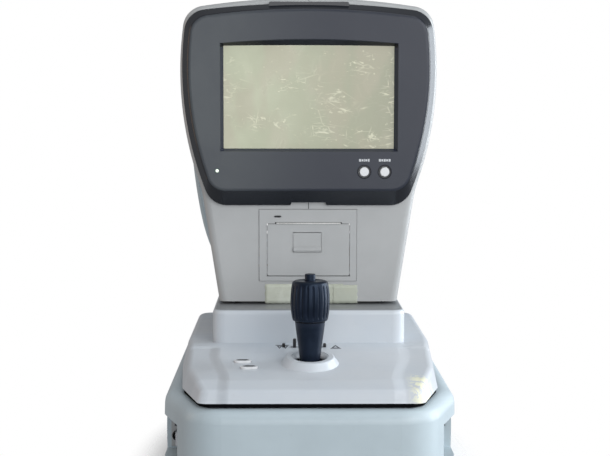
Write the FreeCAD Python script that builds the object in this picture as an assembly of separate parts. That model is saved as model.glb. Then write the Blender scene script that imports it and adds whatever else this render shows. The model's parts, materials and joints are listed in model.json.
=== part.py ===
import FreeCAD, Part
import math
import os

# Tabletop autorefractor. Millimetres. +X is the operator's right, +Y points from the operator to the
# patient, +Z is up. The origin is the middle of the footprint, on the table.

V = FreeCAD.Vector
X_AXIS = V(1, 0, 0)
Y_AXIS = V(0, 1, 0)
Z_AXIS = V(0, 0, 1)

# ---- driving dimensions ----
WALL = 3.0                  # thickness of the moulded covers
RUNNING = 0.05              # radial clearance of a shaft in its bush

# base
BASE_HALF_W = 121.0
BASE_HALF_L = 243.0
BASE_CORNER_Y = -165.0      # where the front corners start to slant
BASE_FRONT_HALF_W = 94.0
BASE_BOTTOM = 10.0
BASE_TOP = 100.0
BASE_CORNER_R = 34.0
BASE_EDGE_R = 11.0
PLATE_TOP = 16.0            # top of the steel base plate
POCKET_FLOOR_X = 107.0      # side pockets for the ports and the mains switch
POCKET_Y = (-206.0, -140.0)
POCKET_Z = (45.0, 80.0)
ROUND_PORT = (-112.5, 56.0)     # X and Z of the round socket in the left pocket
SWITCH_Y = POCKET_Y[1] + 2.2
SWITCH_Z = 71.0
DECK_HOLE = (67.0, -198.0, 26.0)    # half width, front, rear of the hole in the base deck
FRICTION_TOP = 73.0

# face rest and chin rest
FRAME_Y = (150.0, 186.0)    # front and rear of the uprights
FRAME_HALF_W = 124.0
FRAME_TOP = 444.0
FRAME_OUTER_R = 5.0
FRAME_INNER_R = 3.0
BAR_R = 207.0               # forehead bar
BAR_FRONT_Y = 122.0
BAR_Z = (416.0, 440.0)
CHIN_Y = 168.0
CHIN_TOP = 248.0
CHIN_BASE_Z = BASE_TOP
CHIN_SCREW_R = 4.0
CHIN_ROD_X = 23.0
CHIN_MOTOR_X = -44.0
PULLEY_R = 7.0
BELT_Z = (CHIN_BASE_Z + 3.0, CHIN_BASE_Z + 8.0)
BRIDGE_TOP = 190.5

# cross slide
AXLE_Y = -10.0
AXLE_Z = 86.0
AXLE_R = 6.0
PINION_R = 8.0              # pitch radius
PINION_TEETH = 16
PINION_X = 98.0
PINION_W = 8.0
YOKE_X = 86.0
BUSH_X = 14.0

# stage
SKIRT_Z = 104.0             # lower edge of the stage cover
DECK_REAR_Z = 129.5         # stage deck behind the slope
DECK_SLOPE_Y = -112.0       # where the deck starts to slope down to the operator
DECK_SLOPE = 0.132          # fall of the deck for each mm towards the operator
PLINTH_HALF_W = 84.0
PLINTH_Y = (-110.0, 68.0)
PLINTH_TOP = 159.0
CHASSIS_Z = (108.5, 111.5)
CHIN_KEYS = {"chin_up_button": (-56.0, -160.8), "chin_down_button": (-50.2, -176.6)}
KEY_PAD_TOP = 113.4         # rubber pad under the two chin keys
LEVER_Y = -121.5
LEVER_X = (-13.9, -11.1)    # peg of the stage lock at its free end
LEVER_TOP = 135.5
LEVER_RAIL_TOP = 121.1
SLOT_X = (-16.6, 12.6)
COLUMN_X = 48.0
LIFT_Y = 20.0

# joystick
STICK_Y = -165.0
STICK_X = 0.0
PIVOT_Z = 113.0
CRATER_BASE_R = 24.0        # collar round the joystick, square to the sloping deck
CRATER_RIM_R = 19.5
CRATER_HOLE_R = 15.5
CRATER_H = 6.0
SLEEVE_TOP_Z = 158.0
SLEEVE_TOP_R = 12.6
SLEEVE_FOOT_R = 8.0
DUST_DISC_R = 11.0
SLEEVE_FOOT_Z = 117.4
RING_TOP_Z = 191.5
HUB_R = 8.0
BUTTON_R = 4.4
KNOB_WAIST_R = 16.25
KNOB_END_R = 14.45

# head
HEAD_BOTTOM = 161.5
HEAD_TOP = 430.0
HEAD_FRONT_Y = -77.0
HEAD_HALF_W = 113.5
NECK_HALF_W = 79.5
SIDE_ARC_R = 299.0          # bow of the sides, widest at SIDE_ARC_Z
SIDE_ARC_Z = 365.0
FLARE_Z = 262.0             # where the neck meets the bowed sides
CORNER_Z = 420.5
LOWER_REAR_Y = 58.0
UPPER_REAR_Y = 88.0
REAR_TOP_Z = 412.0
HEAD_PLATE_Z = (188.0, 192.0)
OPTIC_Z = 357.0
SEAM = 0.3                  # gap between the two head shells
SKIRT_HALF_X = 66.0         # dark sleeve under the head
SKIRT_Y = (-68.0, 46.0)
SKIRT_HOLE_X = SKIRT_HALF_X + 2.5
SKIRT_HOLE_Y = (SKIRT_Y[0] - 2.5, SKIRT_Y[1] + 2.5)
TARGET_X = 46.0
TARGET_SCREW_Z = 340.0
TARGET_ROD_Z = 353.0

# screen and keys
BEZEL_FACE_Y = -90.0
BEZEL_RIM_Y = -80.0
BEZEL_EDGE_R = 4.0
WIDE_Z = 367.0              # height at which the bezel is widest
# half width, radius of the sides, top, radius of the top, bottom, corner radius
RIM_SHAPE = (111.0, 291.0, 424.6, 757.0, 247.8, 20.0)
FACE_SHAPE = (105.0, 282.0, 419.2, 640.0, 262.0, 17.0)
SCREEN_HALF_W = 74.6
SCREEN_Z = (298.0, 387.4)
SCREEN_Y = -85.2
KEY_Z = 277.8
KEY_X = (48.6, 66.5)
LAMP_X = -80.2
LAMP_Z = 278.6

# printer
PRINTER_X = (-44.0, 43.2)
PRINTER_Z = (179.7, 244.1)
LID_HALF_W = 36.5
LID_Z = (184.8, 230.8)
BUCKET_HALF_W = 36.0
LID_HINGE_Z = 187.6
LID_HINGE_Y = -76.8
LID_FRONT_Y = -78.2
LID_BACK_Y = -75.6
LATCH_X = (-13.5, 11.3)
LATCH_Z = (206.0, 223.0)
LATCH_PIVOT_Y = -77.2
LATCH_PIVOT_Z = 221.8
ROLL_Y = -42.0
ROLL_Z = 212.0
ROLL_R = 22.0
PAPER_HALF_W = 28.6
PLATEN_Y = -68.6
PLATEN_Z = 227.4
PLATEN_R = 3.6


# ---- helpers ----
def box(x0, x1, y0, y1, z0, z1):
    return Part.makeBox(x1 - x0, y1 - y0, z1 - z0, V(x0, y0, z0))


def rod(radius, length, x, y, z, axis=Z_AXIS):
    return Part.makeCylinder(radius, length, V(x, y, z), axis)


def rod_x(radius, x0, x1, y, z):
    return rod(radius, x1 - x0, x0, y, z, X_AXIS)


def rod_y(radius, y0, y1, x, z):
    return rod(radius, y1 - y0, x, y0, z, Y_AXIS)


def rod_z(radius, z0, z1, x, y):
    return rod(radius, z1 - z0, x, y, z0, Z_AXIS)


def cone_z(r0, r1, z0, z1, x, y):
    return Part.makeCone(r0, r1, z1 - z0, V(x, y, z0), Z_AXIS)


def tube_z(r_out, r_in, z0, z1, x, y):
    return rod_z(r_out, z0, z1, x, y).cut(rod_z(r_in, z0 - 1, z1 + 1, x, y))


def face_of(points):
    return Part.Face(Part.makePolygon(points + [points[0]]))


def prism_x(yz, x0, x1):
    return face_of([V(x0, y, z) for y, z in yz]).extrude(V(x1 - x0, 0, 0))


def prism_y(xz, y0, y1):
    return face_of([V(x, y0, z) for x, z in xz]).extrude(V(0, y1 - y0, 0))


def prism_z(xy, z0, z1):
    return face_of([V(x, y, z0) for x, y in xy]).extrude(V(0, 0, z1 - z0))


def mirrored(points):
    """A half outline on the right side, closed with its mirror image on the left."""
    return points + [(-x, other) for x, other in reversed(points)]


def runs_along(edge, axis):
    if not isinstance(edge.Curve, Part.Line):
        return False
    run = edge.Vertexes[-1].Point - edge.Vertexes[0].Point
    return abs(run.normalize().dot(axis)) > 0.999


def rounded(solid, radius, wanted):
    return solid.makeFillet(radius, [edge for edge in solid.Edges if wanted(edge)])


def rounded_along(solid, radius, axis):
    return rounded(solid, radius, lambda edge: runs_along(edge, axis))


def at_height(edge, z):
    box_ = edge.BoundBox
    return abs(box_.ZMin - z) < 0.01 and abs(box_.ZMax - z) < 0.01


def rounded_box(x0, x1, y0, y1, z0, z1, radius, axis=Z_AXIS):
    return rounded_along(box(x0, x1, y0, y1, z0, z1), radius, axis)


def group(solids):
    return Part.makeCompound(solids)


NODES = {}


def node(name, shape):
    NODES[name] = shape


# ---- base ----
def base_prism(inset, z0, z1, corner_r):
    half = BASE_HALF_W - inset
    outline = [
        (BASE_FRONT_HALF_W - 0.6 * inset, -BASE_HALF_L + inset),
        (half, BASE_CORNER_Y + 0.3 * inset),
        (half, BASE_HALF_L - inset),
    ]
    return rounded_along(prism_z(mirrored(outline), z0, z1), corner_r, Z_AXIS)


def base_section(inset):
    """Front view of the base, its sides bowed and widest at a bit over half their height."""
    half = BASE_HALF_W - inset
    low, high = V(half - 4, 0, 0), V(half - 2.6, 0, BASE_TOP + 10)
    mirror = [V(-point.x, 0, point.z) for point in (low, high)]
    edges = [
        Part.makeLine(mirror[0], low),
        Part.Arc(low, V(half, 0, 57), high).toShape(),
        Part.makeLine(high, mirror[1]),
        Part.Arc(mirror[1], V(-half, 0, 57), mirror[0]).toShape(),
    ]
    face = Part.Face(Part.Wire(edges))
    face.translate(V(0, -300, 0))
    return face.extrude(V(0, 600, 0))


def pocket(side, grow):
    """The scooped recess in a side of the base, open to the side and to the slanted front corner."""
    inner = POCKET_FLOOR_X - grow
    outer = BASE_HALF_W + 10
    x0, x1 = sorted((side * inner, side * outer))
    return box(x0, x1, POCKET_Y[0] - grow, POCKET_Y[1] + grow, POCKET_Z[0] - grow, POCKET_Z[1] + grow)


def base_cover():
    outer = base_prism(0, BASE_BOTTOM, BASE_TOP, BASE_CORNER_R)
    outer = rounded(outer, BASE_EDGE_R, lambda edge: at_height(edge, BASE_TOP)).common(base_section(0))
    inner = base_prism(WALL, BASE_BOTTOM - 1, BASE_TOP - WALL, BASE_CORNER_R - WALL)
    inner = rounded(inner, BASE_EDGE_R - WALL, lambda edge: at_height(edge, BASE_TOP - WALL))
    inner = inner.common(base_section(WALL))
    shell = outer.cut(inner)
    for side in (-1, 1):
        shell = shell.fuse(pocket(side, WALL).common(outer)).cut(pocket(side, 0))
    half, front, rear = DECK_HOLE
    shell = shell.cut(rounded_box(-half, half, front, rear, BASE_TOP - 20, BASE_TOP + 20, 8))
    back_wall = POCKET_Y[1]
    shell = shell.cut(box(109, 116, back_wall - 1, back_wall + WALL + 1, SWITCH_Z - 7.5, SWITCH_Z + 7.5))
    shell = shell.cut(rod_y(3.6, back_wall - 1, back_wall + WALL + 1, *ROUND_PORT))
    inlet = box(POCKET_FLOOR_X - WALL - 1, POCKET_FLOOR_X + 1, -179, -153, 54, 76)
    ports = box(-POCKET_FLOOR_X - 1, -POCKET_FLOOR_X + WALL + 1, -190, -147, 53, 78)
    shell = shell.cut(inlet).cut(ports)
    chin_hole = box(-20, 20, CHIN_Y - 10, CHIN_Y + 10, BASE_TOP - 20, BASE_TOP + 1)
    shell = shell.cut(chin_hole)
    for step in range(-6, 7):
        shell = shell.cut(rounded_box(step * 9 - 1.5, step * 9 + 1.5, 230, 250, 38, 74, 1.4, Y_AXIS))
    return shell


def base_plate():
    plate = base_prism(9, PLATE_TOP - WALL, PLATE_TOP, 26)
    for x in (-70, 0, 70):
        plate = plate.cut(rod_z(9, 0, PLATE_TOP + 1, x, 60))
    return plate


def base_feet():
    feet = []
    for x in (-82, 82):
        for y in (-195, 205):
            foot = cone_z(13, 15, 0, PLATE_TOP - WALL, x, y)
            feet.append(foot.cut(rod_z(5, -1, 4, x, y)))
    return group(feet)


def rack_profile(y_mid, pitch_z, pitch, teeth):
    """Rack teeth above the bar, with a gap at y_mid for the pinion's lowest tooth."""
    root_z = pitch_z - 1.3
    tip_z = pitch_z + 0.8
    y = y_mid - teeth * pitch / 2
    outline = [(y, root_z - 8), (y, root_z)]
    for _ in range(teeth):
        outline += [
            (y + 0.28 * pitch, root_z),
            (y + 0.40 * pitch, tip_z),
            (y + 0.60 * pitch, tip_z),
            (y + 0.72 * pitch, root_z),
        ]
        y += pitch
    return outline + [(y, root_z), (y, root_z - 8)]


def rack_rails():
    pitch = 2 * math.pi * PINION_R / PINION_TEETH
    pitch_z = AXLE_Z - PINION_R
    rails = []
    for side in (-1, 1):
        x0 = side * PINION_X - PINION_W / 2 - 1
        x1 = side * PINION_X + PINION_W / 2 + 1
        outline = rack_profile(AXLE_Y, pitch_z, pitch, 34)
        rail = prism_x(outline, x0, x1)
        for y in (AXLE_Y - 48, AXLE_Y + 38):
            rail = rail.fuse(box(x0, x1, y, y + 10, PLATE_TOP, pitch_z - 5))
        rails.append(rail.removeSplitter())
    return group(rails)


def friction_plate():
    plate = rounded_box(-60, 60, -202, -128, FRICTION_TOP - 3, FRICTION_TOP, 6)
    for x in (-50, 50):
        for y in (-193, -137):
            plate = plate.fuse(rod_z(4, PLATE_TOP, FRICTION_TOP - 3, x, y))
    return plate.removeSplitter()


def power_supply():
    case = rounded_box(-98, -26, 84, 200, PLATE_TOP, 58, 3)
    for y in range(96, 190, 8):
        case = case.cut(box(-84, -40, y, y + 3, 56, 60))
    return case


def main_board():
    board = box(-8, 98, 72, 132, 24, 25.6)
    chips = [(8, 84, 20, 20, 3), (36, 84, 26, 26, 9), (70, 80, 14, 30, 12), (10, 112, 60, 8, 9)]
    for x, y, dx, dy, dz in chips:
        board = board.fuse(box(x, x + dx, y, y + dy, 25.6, 25.6 + dz))
    for x in (-4, 94):
        for y in (76, 128):
            board = board.fuse(rod_z(3, PLATE_TOP, 24, x, y))
    return board.removeSplitter()


def port_panel():
    """Bent sheet that lines the left pocket: a side plate and a return facing the operator."""
    floor_x = -POCKET_FLOOR_X
    side_plate = box(floor_x - 1.2, floor_x, -194, POCKET_Y[1], POCKET_Z[0] + 3.5, POCKET_Z[1] - 2)
    back_plate = box(-117.2, floor_x, POCKET_Y[1] - 1.2, POCKET_Y[1], POCKET_Z[0] + 1.5, POCKET_Z[1] - 1.5)
    panel = side_plate.fuse(back_plate).removeSplitter()
    panel = panel.cut(rod_y(3.4, POCKET_Y[1] - 3, POCKET_Y[1] + 1, *ROUND_PORT))
    panel = panel.cut(box(-110, -105, -187, -168, 58, 70))
    return panel.cut(box(-110, -105, -163, -150, 61, 67))


def port_connectors():
    """A nine-way data socket, a small serial socket and the round socket on the return plate."""
    wall_in = -POCKET_FLOOR_X + WALL
    data = box(-POCKET_FLOOR_X - 3, wall_in + 5, -186.6, -168.4, 58.4, 69.6)
    data = data.cut(box(-POCKET_FLOOR_X - 4, -POCKET_FLOOR_X + 3, -185.4, -169.6, 59.6, 68.4))
    serial = box(-POCKET_FLOOR_X - 2, wall_in + 5, -162.6, -150.4, 61.4, 66.6)
    serial = serial.cut(box(-POCKET_FLOOR_X - 3, -POCKET_FLOOR_X + 4, -161.6, -151.4, 62.4, 65.6))
    collar = rod_y(3.3, POCKET_Y[1] - 3.2, POCKET_Y[1] + WALL + 4, *ROUND_PORT)
    collar = collar.cut(rod_y(2.2, POCKET_Y[1] - 4, POCKET_Y[1] + 2, *ROUND_PORT))
    return group([data, serial, collar])


def power_inlet():
    """Three-pin mains socket in the floor of the right pocket."""
    floor_x = POCKET_FLOOR_X
    flange = rounded_box(floor_x, floor_x + 2, -183, -149, 51, 79, 3, X_AXIS)
    body = box(floor_x - 22, floor_x, -178.6, -153.4, 54.4, 75.6)
    socket = flange.fuse(body).removeSplitter()
    socket = socket.cut(box(floor_x - 16, floor_x + 3, -177, -155, 57, 73))
    for y, z in ((-171, 63), (-161, 63), (-166, 68)):
        blade = box(floor_x - 17, floor_x - 2, y - 0.8, y + 0.8, z - 2, z + 2)
        socket = socket.fuse(blade)
    return socket.removeSplitter()


def switch_housing():
    """Fixed case of the mains switch, behind the back wall of the right pocket."""
    wall = POCKET_Y[1]
    case = box(109.2, 115.8, wall - 0.8, wall + 17, SWITCH_Z - 7.3, SWITCH_Z + 7.3)
    case = case.cut(box(110.2, 114.8, wall - 2, wall + 12, SWITCH_Z - 6.4, SWITCH_Z + 6.4))
    return case.cut(rod_x(1.05, 108, 117, SWITCH_Y, SWITCH_Z))


def power_rocker():
    """Rocker with a shallow vee face, on a cross pin."""
    front = POCKET_Y[1] - 2.2
    outline = [
        (front, SWITCH_Z + 5.4),
        (front + 1.4, SWITCH_Z),
        (front, SWITCH_Z - 5.4),
        (front + 6, SWITCH_Z - 4.6),
        (front + 7, SWITCH_Z),
        (front + 6, SWITCH_Z + 4.6),
    ]
    rocker = prism_x(outline, 110.5, 114.5)
    return rocker.fuse(rod_x(1.0, 109.4, 115.6, SWITCH_Y, SWITCH_Z)).removeSplitter()


def make_base():
    node("base_cover", base_cover())
    node("base_plate", base_plate())
    node("base_feet", base_feet())
    node("rack_rails", rack_rails())
    node("friction_plate", friction_plate())
    node("power_supply", power_supply())
    node("main_board", main_board())
    node("port_panel", port_panel())
    node("port_connectors", port_connectors())
    node("mains_fittings", group([power_inlet(), switch_housing()]))
    node("power_rocker", power_rocker())


# ---- face rest for the patient ----
def face_ring(inset, y0, y1):
    """Upright ring: narrow at the foot, widest at the temples, arched over the forehead."""
    half = FRAME_HALF_W - 1.85 - inset
    outer = [
        V(74 - inset, y0, BASE_TOP),
        V(79 - inset, y0, 142),
        V(98.5 - inset, y0, 184),
        V(111.5 - inset, y0, 229),
        V(half, y0, 310),
        V(117 - inset, y0, 382),
        V(80, y0, FRAME_TOP - 15 - inset),
        V(0, y0, FRAME_TOP - inset),
    ]
    inner = [
        V(0, y0, 194 - inset),
        V(58 + inset, y0, 203 - inset),
        V(88 + inset, y0, 236),
        V(101 + inset, y0, 300),
        V(95 + inset, y0, 374),
        V(64, y0, 411 + inset),
        V(0, y0, 421 + inset),
    ]
    profiles = []
    for points in (outer, inner):
        right = Part.BSplineCurve()
        tangents = [(points[1] - points[0]), V(-1, 0, 0)]
        if points is inner:
            tangents[0] = V(1, 0, 0)
        right.interpolate(Points=points, InitialTangent=tangents[0], FinalTangent=tangents[1])
        half_wire = right.toShape()
        other_half = half_wire.mirror(V(0, 0, 0), X_AXIS)
        edges = [half_wire, other_half]
        if points is outer:
            edges.append(Part.makeLine(points[0], V(-points[0].x, y0, BASE_TOP)))
        profiles.append(Part.Face(Part.Wire(Part.__sortEdges__(edges))))
    return profiles[0].cut(profiles[1]).extrude(V(0, y1 - y0, 0))


def is_ring_edge(edge, lowest, highest):
    """Edge of the ring's front or rear face whose lowest point lies between two heights."""
    box_ = edge.BoundBox
    return box_.YLength < 0.01 and box_.ZLength > 1 and lowest < box_.ZMin < highest


def frame_shells():
    """Front and rear halves of the ring, hollow, with the chin lift inside the foot."""
    y0, y1 = FRAME_Y
    outer = face_ring(0, y0, y1)
    hollow = face_ring(WALL + 0.5, y0 + WALL, y1 - WALL)
    hollow = hollow.fuse(box(-64, 64, y0 + WALL, y1 - WALL, BASE_TOP - 1, BASE_TOP + WALL + 1))
    outer = rounded(outer, FRAME_OUTER_R, lambda edge: is_ring_edge(edge, 0, 150))
    outer = rounded(outer, FRAME_INNER_R, lambda edge: is_ring_edge(edge, 150, 300))
    ring = outer.cut(hollow)
    post_slot = rounded_box(-13, 13, CHIN_Y - 13, CHIN_Y + 13, 150, 220, 3)
    ring = ring.cut(post_slot)
    split = (y0 + y1) / 2
    wide = 200
    front = ring.common(box(-wide, wide, y0 - 1, split, 0, 2 * wide + 100))
    rear = ring.common(box(-wide, wide, split, y1 + 1, 0, 2 * wide + 100))
    return front, rear


def bowed_bar(r_out, r_in, half_w, z0, z1):
    centre_y = BAR_FRONT_Y + BAR_R
    ring = tube_z(r_out, r_in, z0, z1, 0, centre_y)
    return ring.common(box(-half_w, half_w, 0, centre_y - 50, z0 - 2, z1 + 2))


def forehead_bar():
    bar = bowed_bar(BAR_R, BAR_R - 6, 92, *BAR_Z)
    for side in (-1, 1):
        x0, x1 = sorted((side * 72, side * 92))
        bar = bar.fuse(box(x0, x1, 138, FRAME_Y[0], BAR_Z[0] + 4, BAR_Z[1] - 10))
    return bar.removeSplitter()


def forehead_pad():
    pad = bowed_bar(BAR_R - 6, BAR_R - 14, 46, BAR_Z[0] + 2, BAR_Z[1] - 2)
    return pad


# ---- chin rest ----
def chin_bracket():
    """Floor plate and top bridge that carry the guide rods, the screw and the motor."""
    z = CHIN_BASE_Z
    plate = box(-60, 30, CHIN_Y - 13, CHIN_Y + 13, z, z + 2)
    bridge = box(-30, -14, CHIN_Y - 8, CHIN_Y + 8, 188.5, BRIDGE_TOP)
    bridge = bridge.fuse(box(14, 30, CHIN_Y - 8, CHIN_Y + 8, 188.5, BRIDGE_TOP))
    shelf = box(-60, -29.5, CHIN_Y - 13, CHIN_Y + 13, z + 10, z + 12)
    shelf = shelf.fuse(box(-60, -58, CHIN_Y - 13, CHIN_Y + 13, z, z + 12))
    bracket = plate.fuse([bridge, shelf])
    for x in (-CHIN_ROD_X, CHIN_ROD_X):
        bracket = bracket.fuse(rod_z(3, z + 2, BRIDGE_TOP, x, CHIN_Y))
    bracket = bracket.cut(rod_z(3 + RUNNING, z - 2, z + 3, 0, CHIN_Y))
    return bracket.cut(rod_z(4, z + 9, z + 13, CHIN_MOTOR_X, CHIN_Y)).removeSplitter()


def chin_screw():
    z = CHIN_BASE_Z
    shaft = rod_z(3, z - 0.3, z + 2.2, 0, CHIN_Y)
    pulley = rod_z(PULLEY_R, BELT_Z[0], BELT_Z[1], 0, CHIN_Y)
    flange = rod_z(PULLEY_R + 1.5, z + 2.3, BELT_Z[0], 0, CHIN_Y)
    thread = rod_z(CHIN_SCREW_R, BELT_Z[1], 189, 0, CHIN_Y)
    core = rod_z(3, z + 2, z + 3, 0, CHIN_Y)
    return shaft.fuse([core, flange, pulley, thread]).removeSplitter()


def chin_motor():
    z = CHIN_BASE_Z + 12
    body = rounded_box(CHIN_MOTOR_X - 13.5, CHIN_MOTOR_X + 13.5, CHIN_Y - 13.5, CHIN_Y + 13.5, z, z + 32, 2)
    return body


def chin_motor_pulley():
    z = CHIN_BASE_Z
    pulley = rod_z(PULLEY_R, BELT_Z[0], BELT_Z[1], CHIN_MOTOR_X, CHIN_Y)
    return pulley.fuse(rod_z(2.5, z + 2.5, z + 11.8, CHIN_MOTOR_X, CHIN_Y)).removeSplitter()


def chin_belt():
    """Toothed belt around the screw pulley and the motor pulley, shown as a plain loop."""
    def loop(radius):
        strap = box(CHIN_MOTOR_X, 0, CHIN_Y - radius, CHIN_Y + radius, BELT_Z[0] + 0.3, BELT_Z[1] - 0.3)
        for x in (CHIN_MOTOR_X, 0):
            strap = strap.fuse(rod_z(radius, BELT_Z[0] + 0.3, BELT_Z[1] - 0.3, x, CHIN_Y))
        return strap.removeSplitter()
    return loop(PULLEY_R + 1.2).cut(loop(PULLEY_R + RUNNING))


def chin_post():
    """Square post with a crosshead that rides on the two guide rods."""
    post = rounded_box(-12, 12, CHIN_Y - 12, CHIN_Y + 12, 148, CHIN_TOP - 9, 2.5)
    crosshead = box(-28.5, 28.5, CHIN_Y - 9, CHIN_Y + 9, 148, 158)
    post = post.fuse(crosshead).removeSplitter()
    post = post.cut(rod_z(8, 140, CHIN_TOP - 14, 0, CHIN_Y))
    for x in (-CHIN_ROD_X, CHIN_ROD_X):
        post = post.cut(rod_z(3 + RUNNING, 140, 160, x, CHIN_Y))
    return post


def chin_nut():
    return tube_z(8, CHIN_SCREW_R + RUNNING, 148, 162, 0, CHIN_Y)


def chin_cup():
    """Dished cup for the chin, with a hole at each end for the paper pins."""
    cup = rounded_box(-39, 39, CHIN_Y - 26, CHIN_Y + 26, CHIN_TOP - 9, CHIN_TOP + 4, 12)
    cup = cup.cut(rod_y(76, CHIN_Y - 60, CHIN_Y + 60, 0, CHIN_TOP - 4 + 76))
    cup = rounded(cup, 1.5, lambda edge: at_height(edge, CHIN_TOP - 9))
    for x in (-32, 32):
        cup = cup.cut(rod_z(2 + RUNNING, CHIN_TOP - 8, CHIN_TOP + 10, x, CHIN_Y - 16))
    return cup


def chin_pin(x):
    top = CHIN_TOP + 5.5
    pin = rod_z(2, CHIN_TOP - 7.8, top, x, CHIN_Y - 16)
    return pin.fuse(cone_z(3.6, 2.6, top, top + 3, x, CHIN_Y - 16)).removeSplitter()


def make_face_rest():
    front, rear = frame_shells()
    node("frame_front_shell", front)
    node("frame_rear_shell", rear)
    node("forehead_bar", forehead_bar())
    node("forehead_pad", forehead_pad())
    node("chin_bracket", chin_bracket())
    node("chin_drive", group([chin_motor(), chin_belt()]))
    node("chin_motor_pulley", chin_motor_pulley())
    node("chin_screw", chin_screw())
    node("chin_post", group([chin_post(), chin_nut()]))
    node("chin_cup", chin_cup())
    node("chin_pin_left", chin_pin(-32))
    node("chin_pin_right", chin_pin(32))


# ---- cross slide ----
def pinion(x0, x1):
    """Gear on the cross axle, one tooth pointing straight down."""
    outline = []
    for index in range(PINION_TEETH):
        middle = -math.pi / 2 + index * 2 * math.pi / PINION_TEETH
        for radius, half_width, side in ((6.75, 0.85, -1), (8.7, 0.28, -1), (8.7, 0.28, 1), (6.75, 0.85, 1)):
            angle = middle + side * half_width / radius
            outline.append((AXLE_Y + radius * math.cos(angle), AXLE_Z + radius * math.sin(angle)))
    return prism_x(outline, x0, x1)


def axle_pinions():
    gears = []
    for side in (-1, 1):
        x0 = side * PINION_X - PINION_W / 2
        gear = pinion(x0, x0 + PINION_W)
        gears.append(gear.cut(rod_x(4, x0 - 1, x0 + PINION_W + 1, AXLE_Y, AXLE_Z)))
    return group(gears)


def cross_axle():
    shaft = rod_x(AXLE_R, -92, 92, AXLE_Y, AXLE_Z)
    return shaft.fuse(rod_x(4, -103, 103, AXLE_Y, AXLE_Z)).removeSplitter()


def axle_yoke():
    """Bearing blocks near the ends of the axle, tied by a bar on the operator's side."""
    y0 = AXLE_Y - 9
    yoke = box(-YOKE_X - 3, YOKE_X + 3, y0 - 7, y0 - 1, AXLE_Z - 5, AXLE_Z + 5)
    for side in (-1, 1):
        x = side * YOKE_X
        block = box(x - 3, x + 3, y0 - 1, AXLE_Y + 9, AXLE_Z - 8.5, AXLE_Z + 9)
        yoke = yoke.fuse(block)
    return yoke.removeSplitter().cut(rod_x(AXLE_R + RUNNING, -100, 100, AXLE_Y, AXLE_Z))


def stage_bushes():
    bushes = []
    for side in (-1, 1):
        x = side * BUSH_X
        bush = rod_x(8, x - 8, x + 8, AXLE_Y, AXLE_Z)
        bushes.append(bush.cut(rod_x(AXLE_R + RUNNING, x - 9, x + 9, AXLE_Y, AXLE_Z)))
    return group(bushes)


# ---- stage ----
def stage_outline(inset, grow=0.0):
    return mirrored([
        (88 - grow - 0.6 * inset, -236 + 2 * grow + inset),
        (105 - grow - inset, -176 + grow),
        (112 - grow - inset, -80),
        (112 - grow - inset, 74 - grow * 0.4 - inset),
    ])


def stage_skin(inset):
    """Solid under the deck: flared sides cut by the sloping deck."""
    rise = 34.0
    flare = 8.0
    low = [V(x, y, SKIRT_Z) for x, y in stage_outline(inset)]
    high = [V(x, y, SKIRT_Z + rise) for x, y in stage_outline(inset, flare)]
    wires = [Part.makePolygon(points + [points[0]]) for points in (low, high)]
    body = Part.makeLoft(wires, True, True)
    deck = [
        (-260, SKIRT_Z - 1),
        (-260, deck_z(-260) - inset),
        (DECK_SLOPE_Y, DECK_REAR_Z - inset),
        (100, DECK_REAR_Z - inset),
        (100, SKIRT_Z - 1),
    ]
    body = body.common(prism_x(deck, -150, 150))
    body = rounded(body, 9 - inset, lambda edge: is_steep(edge) and edge.CenterOfMass.y < -100)
    return rounded(body, 14 - inset, lambda edge: is_steep(edge) and edge.CenterOfMass.y > 40)


def is_steep(edge):
    return edge.BoundBox.ZLength > 8


def stage_outer():
    body = stage_skin(0)
    top = [edge for edge in body.Edges if edge.BoundBox.ZMin > SKIRT_Z + 5]
    rim = [edge for edge in top if not (edge.BoundBox.YLength < 0.1 and abs(edge.CenterOfMass.x) < 1
                                        and edge.CenterOfMass.y > -200 and edge.CenterOfMass.y < 0)]
    return body.makeFillet(5.5, rim)


def plinth_box(inset, z1):
    y0, y1 = PLINTH_Y
    half = PLINTH_HALF_W - inset
    return rounded_box(-half, half, y0 + inset, y1 - inset, SKIRT_Z + 8, z1 - inset, 11 - inset)


def square_to_deck(shape):
    """Moves a shape made round the Z axis onto the sloping deck, round the joystick."""
    tilt = FreeCAD.Rotation(X_AXIS, math.degrees(math.atan(DECK_SLOPE)))
    shape.Placement = FreeCAD.Placement(V(STICK_X, STICK_Y, deck_z(STICK_Y)), tilt)
    return shape


def crater(inset):
    flare = (CRATER_BASE_R - CRATER_RIM_R) / CRATER_H
    low = -5.0
    cone = cone_z(CRATER_BASE_R - low * flare - inset, CRATER_RIM_R + inset * flare - inset, low, CRATER_H - inset, 0, 0)
    if inset == 0:
        cone = rounded(cone, 1.2, lambda edge: at_height(edge, CRATER_H))
    return square_to_deck(cone)


def deck_z(y):
    return DECK_REAR_Z - max(0.0, DECK_SLOPE_Y - y) * DECK_SLOPE


def oval(half_x, half_y, x, y, z0, z1):
    return rounded_box(x - half_x, x + half_x, y - half_y, y + half_y, z0, z1, half_y - 0.05)


def stage_cover():
    plinth = rounded(plinth_box(0, PLINTH_TOP), 4.5, lambda edge: at_height(edge, PLINTH_TOP))
    outer = stage_outer().fuse([plinth, crater(0)])
    inner = stage_skin(WALL).fuse([plinth_box(WALL, PLINTH_TOP), crater(WALL)])
    below = box(-140, 140, -260, 100, SKIRT_Z - 30, SKIRT_Z)
    shell = outer.cut(inner).cut(below)
    shell = shell.cut(square_to_deck(rod_z(CRATER_HOLE_R, -15, 30, 0, 0)))
    shell = shell.cut(rounded_box(-SKIRT_HOLE_X, SKIRT_HOLE_X, *SKIRT_HOLE_Y, 140, 200, 9))
    shell = shell.cut(rounded_box(*SLOT_X, LEVER_Y - 2.4, LEVER_Y + 2.4, SKIRT_Z + 10, 140, 2.3))
    for x, y in CHIN_KEYS.values():
        shell = shell.cut(oval(7.7, 4.9, x, y, SKIRT_Z + 5, 145))
    return shell


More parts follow.
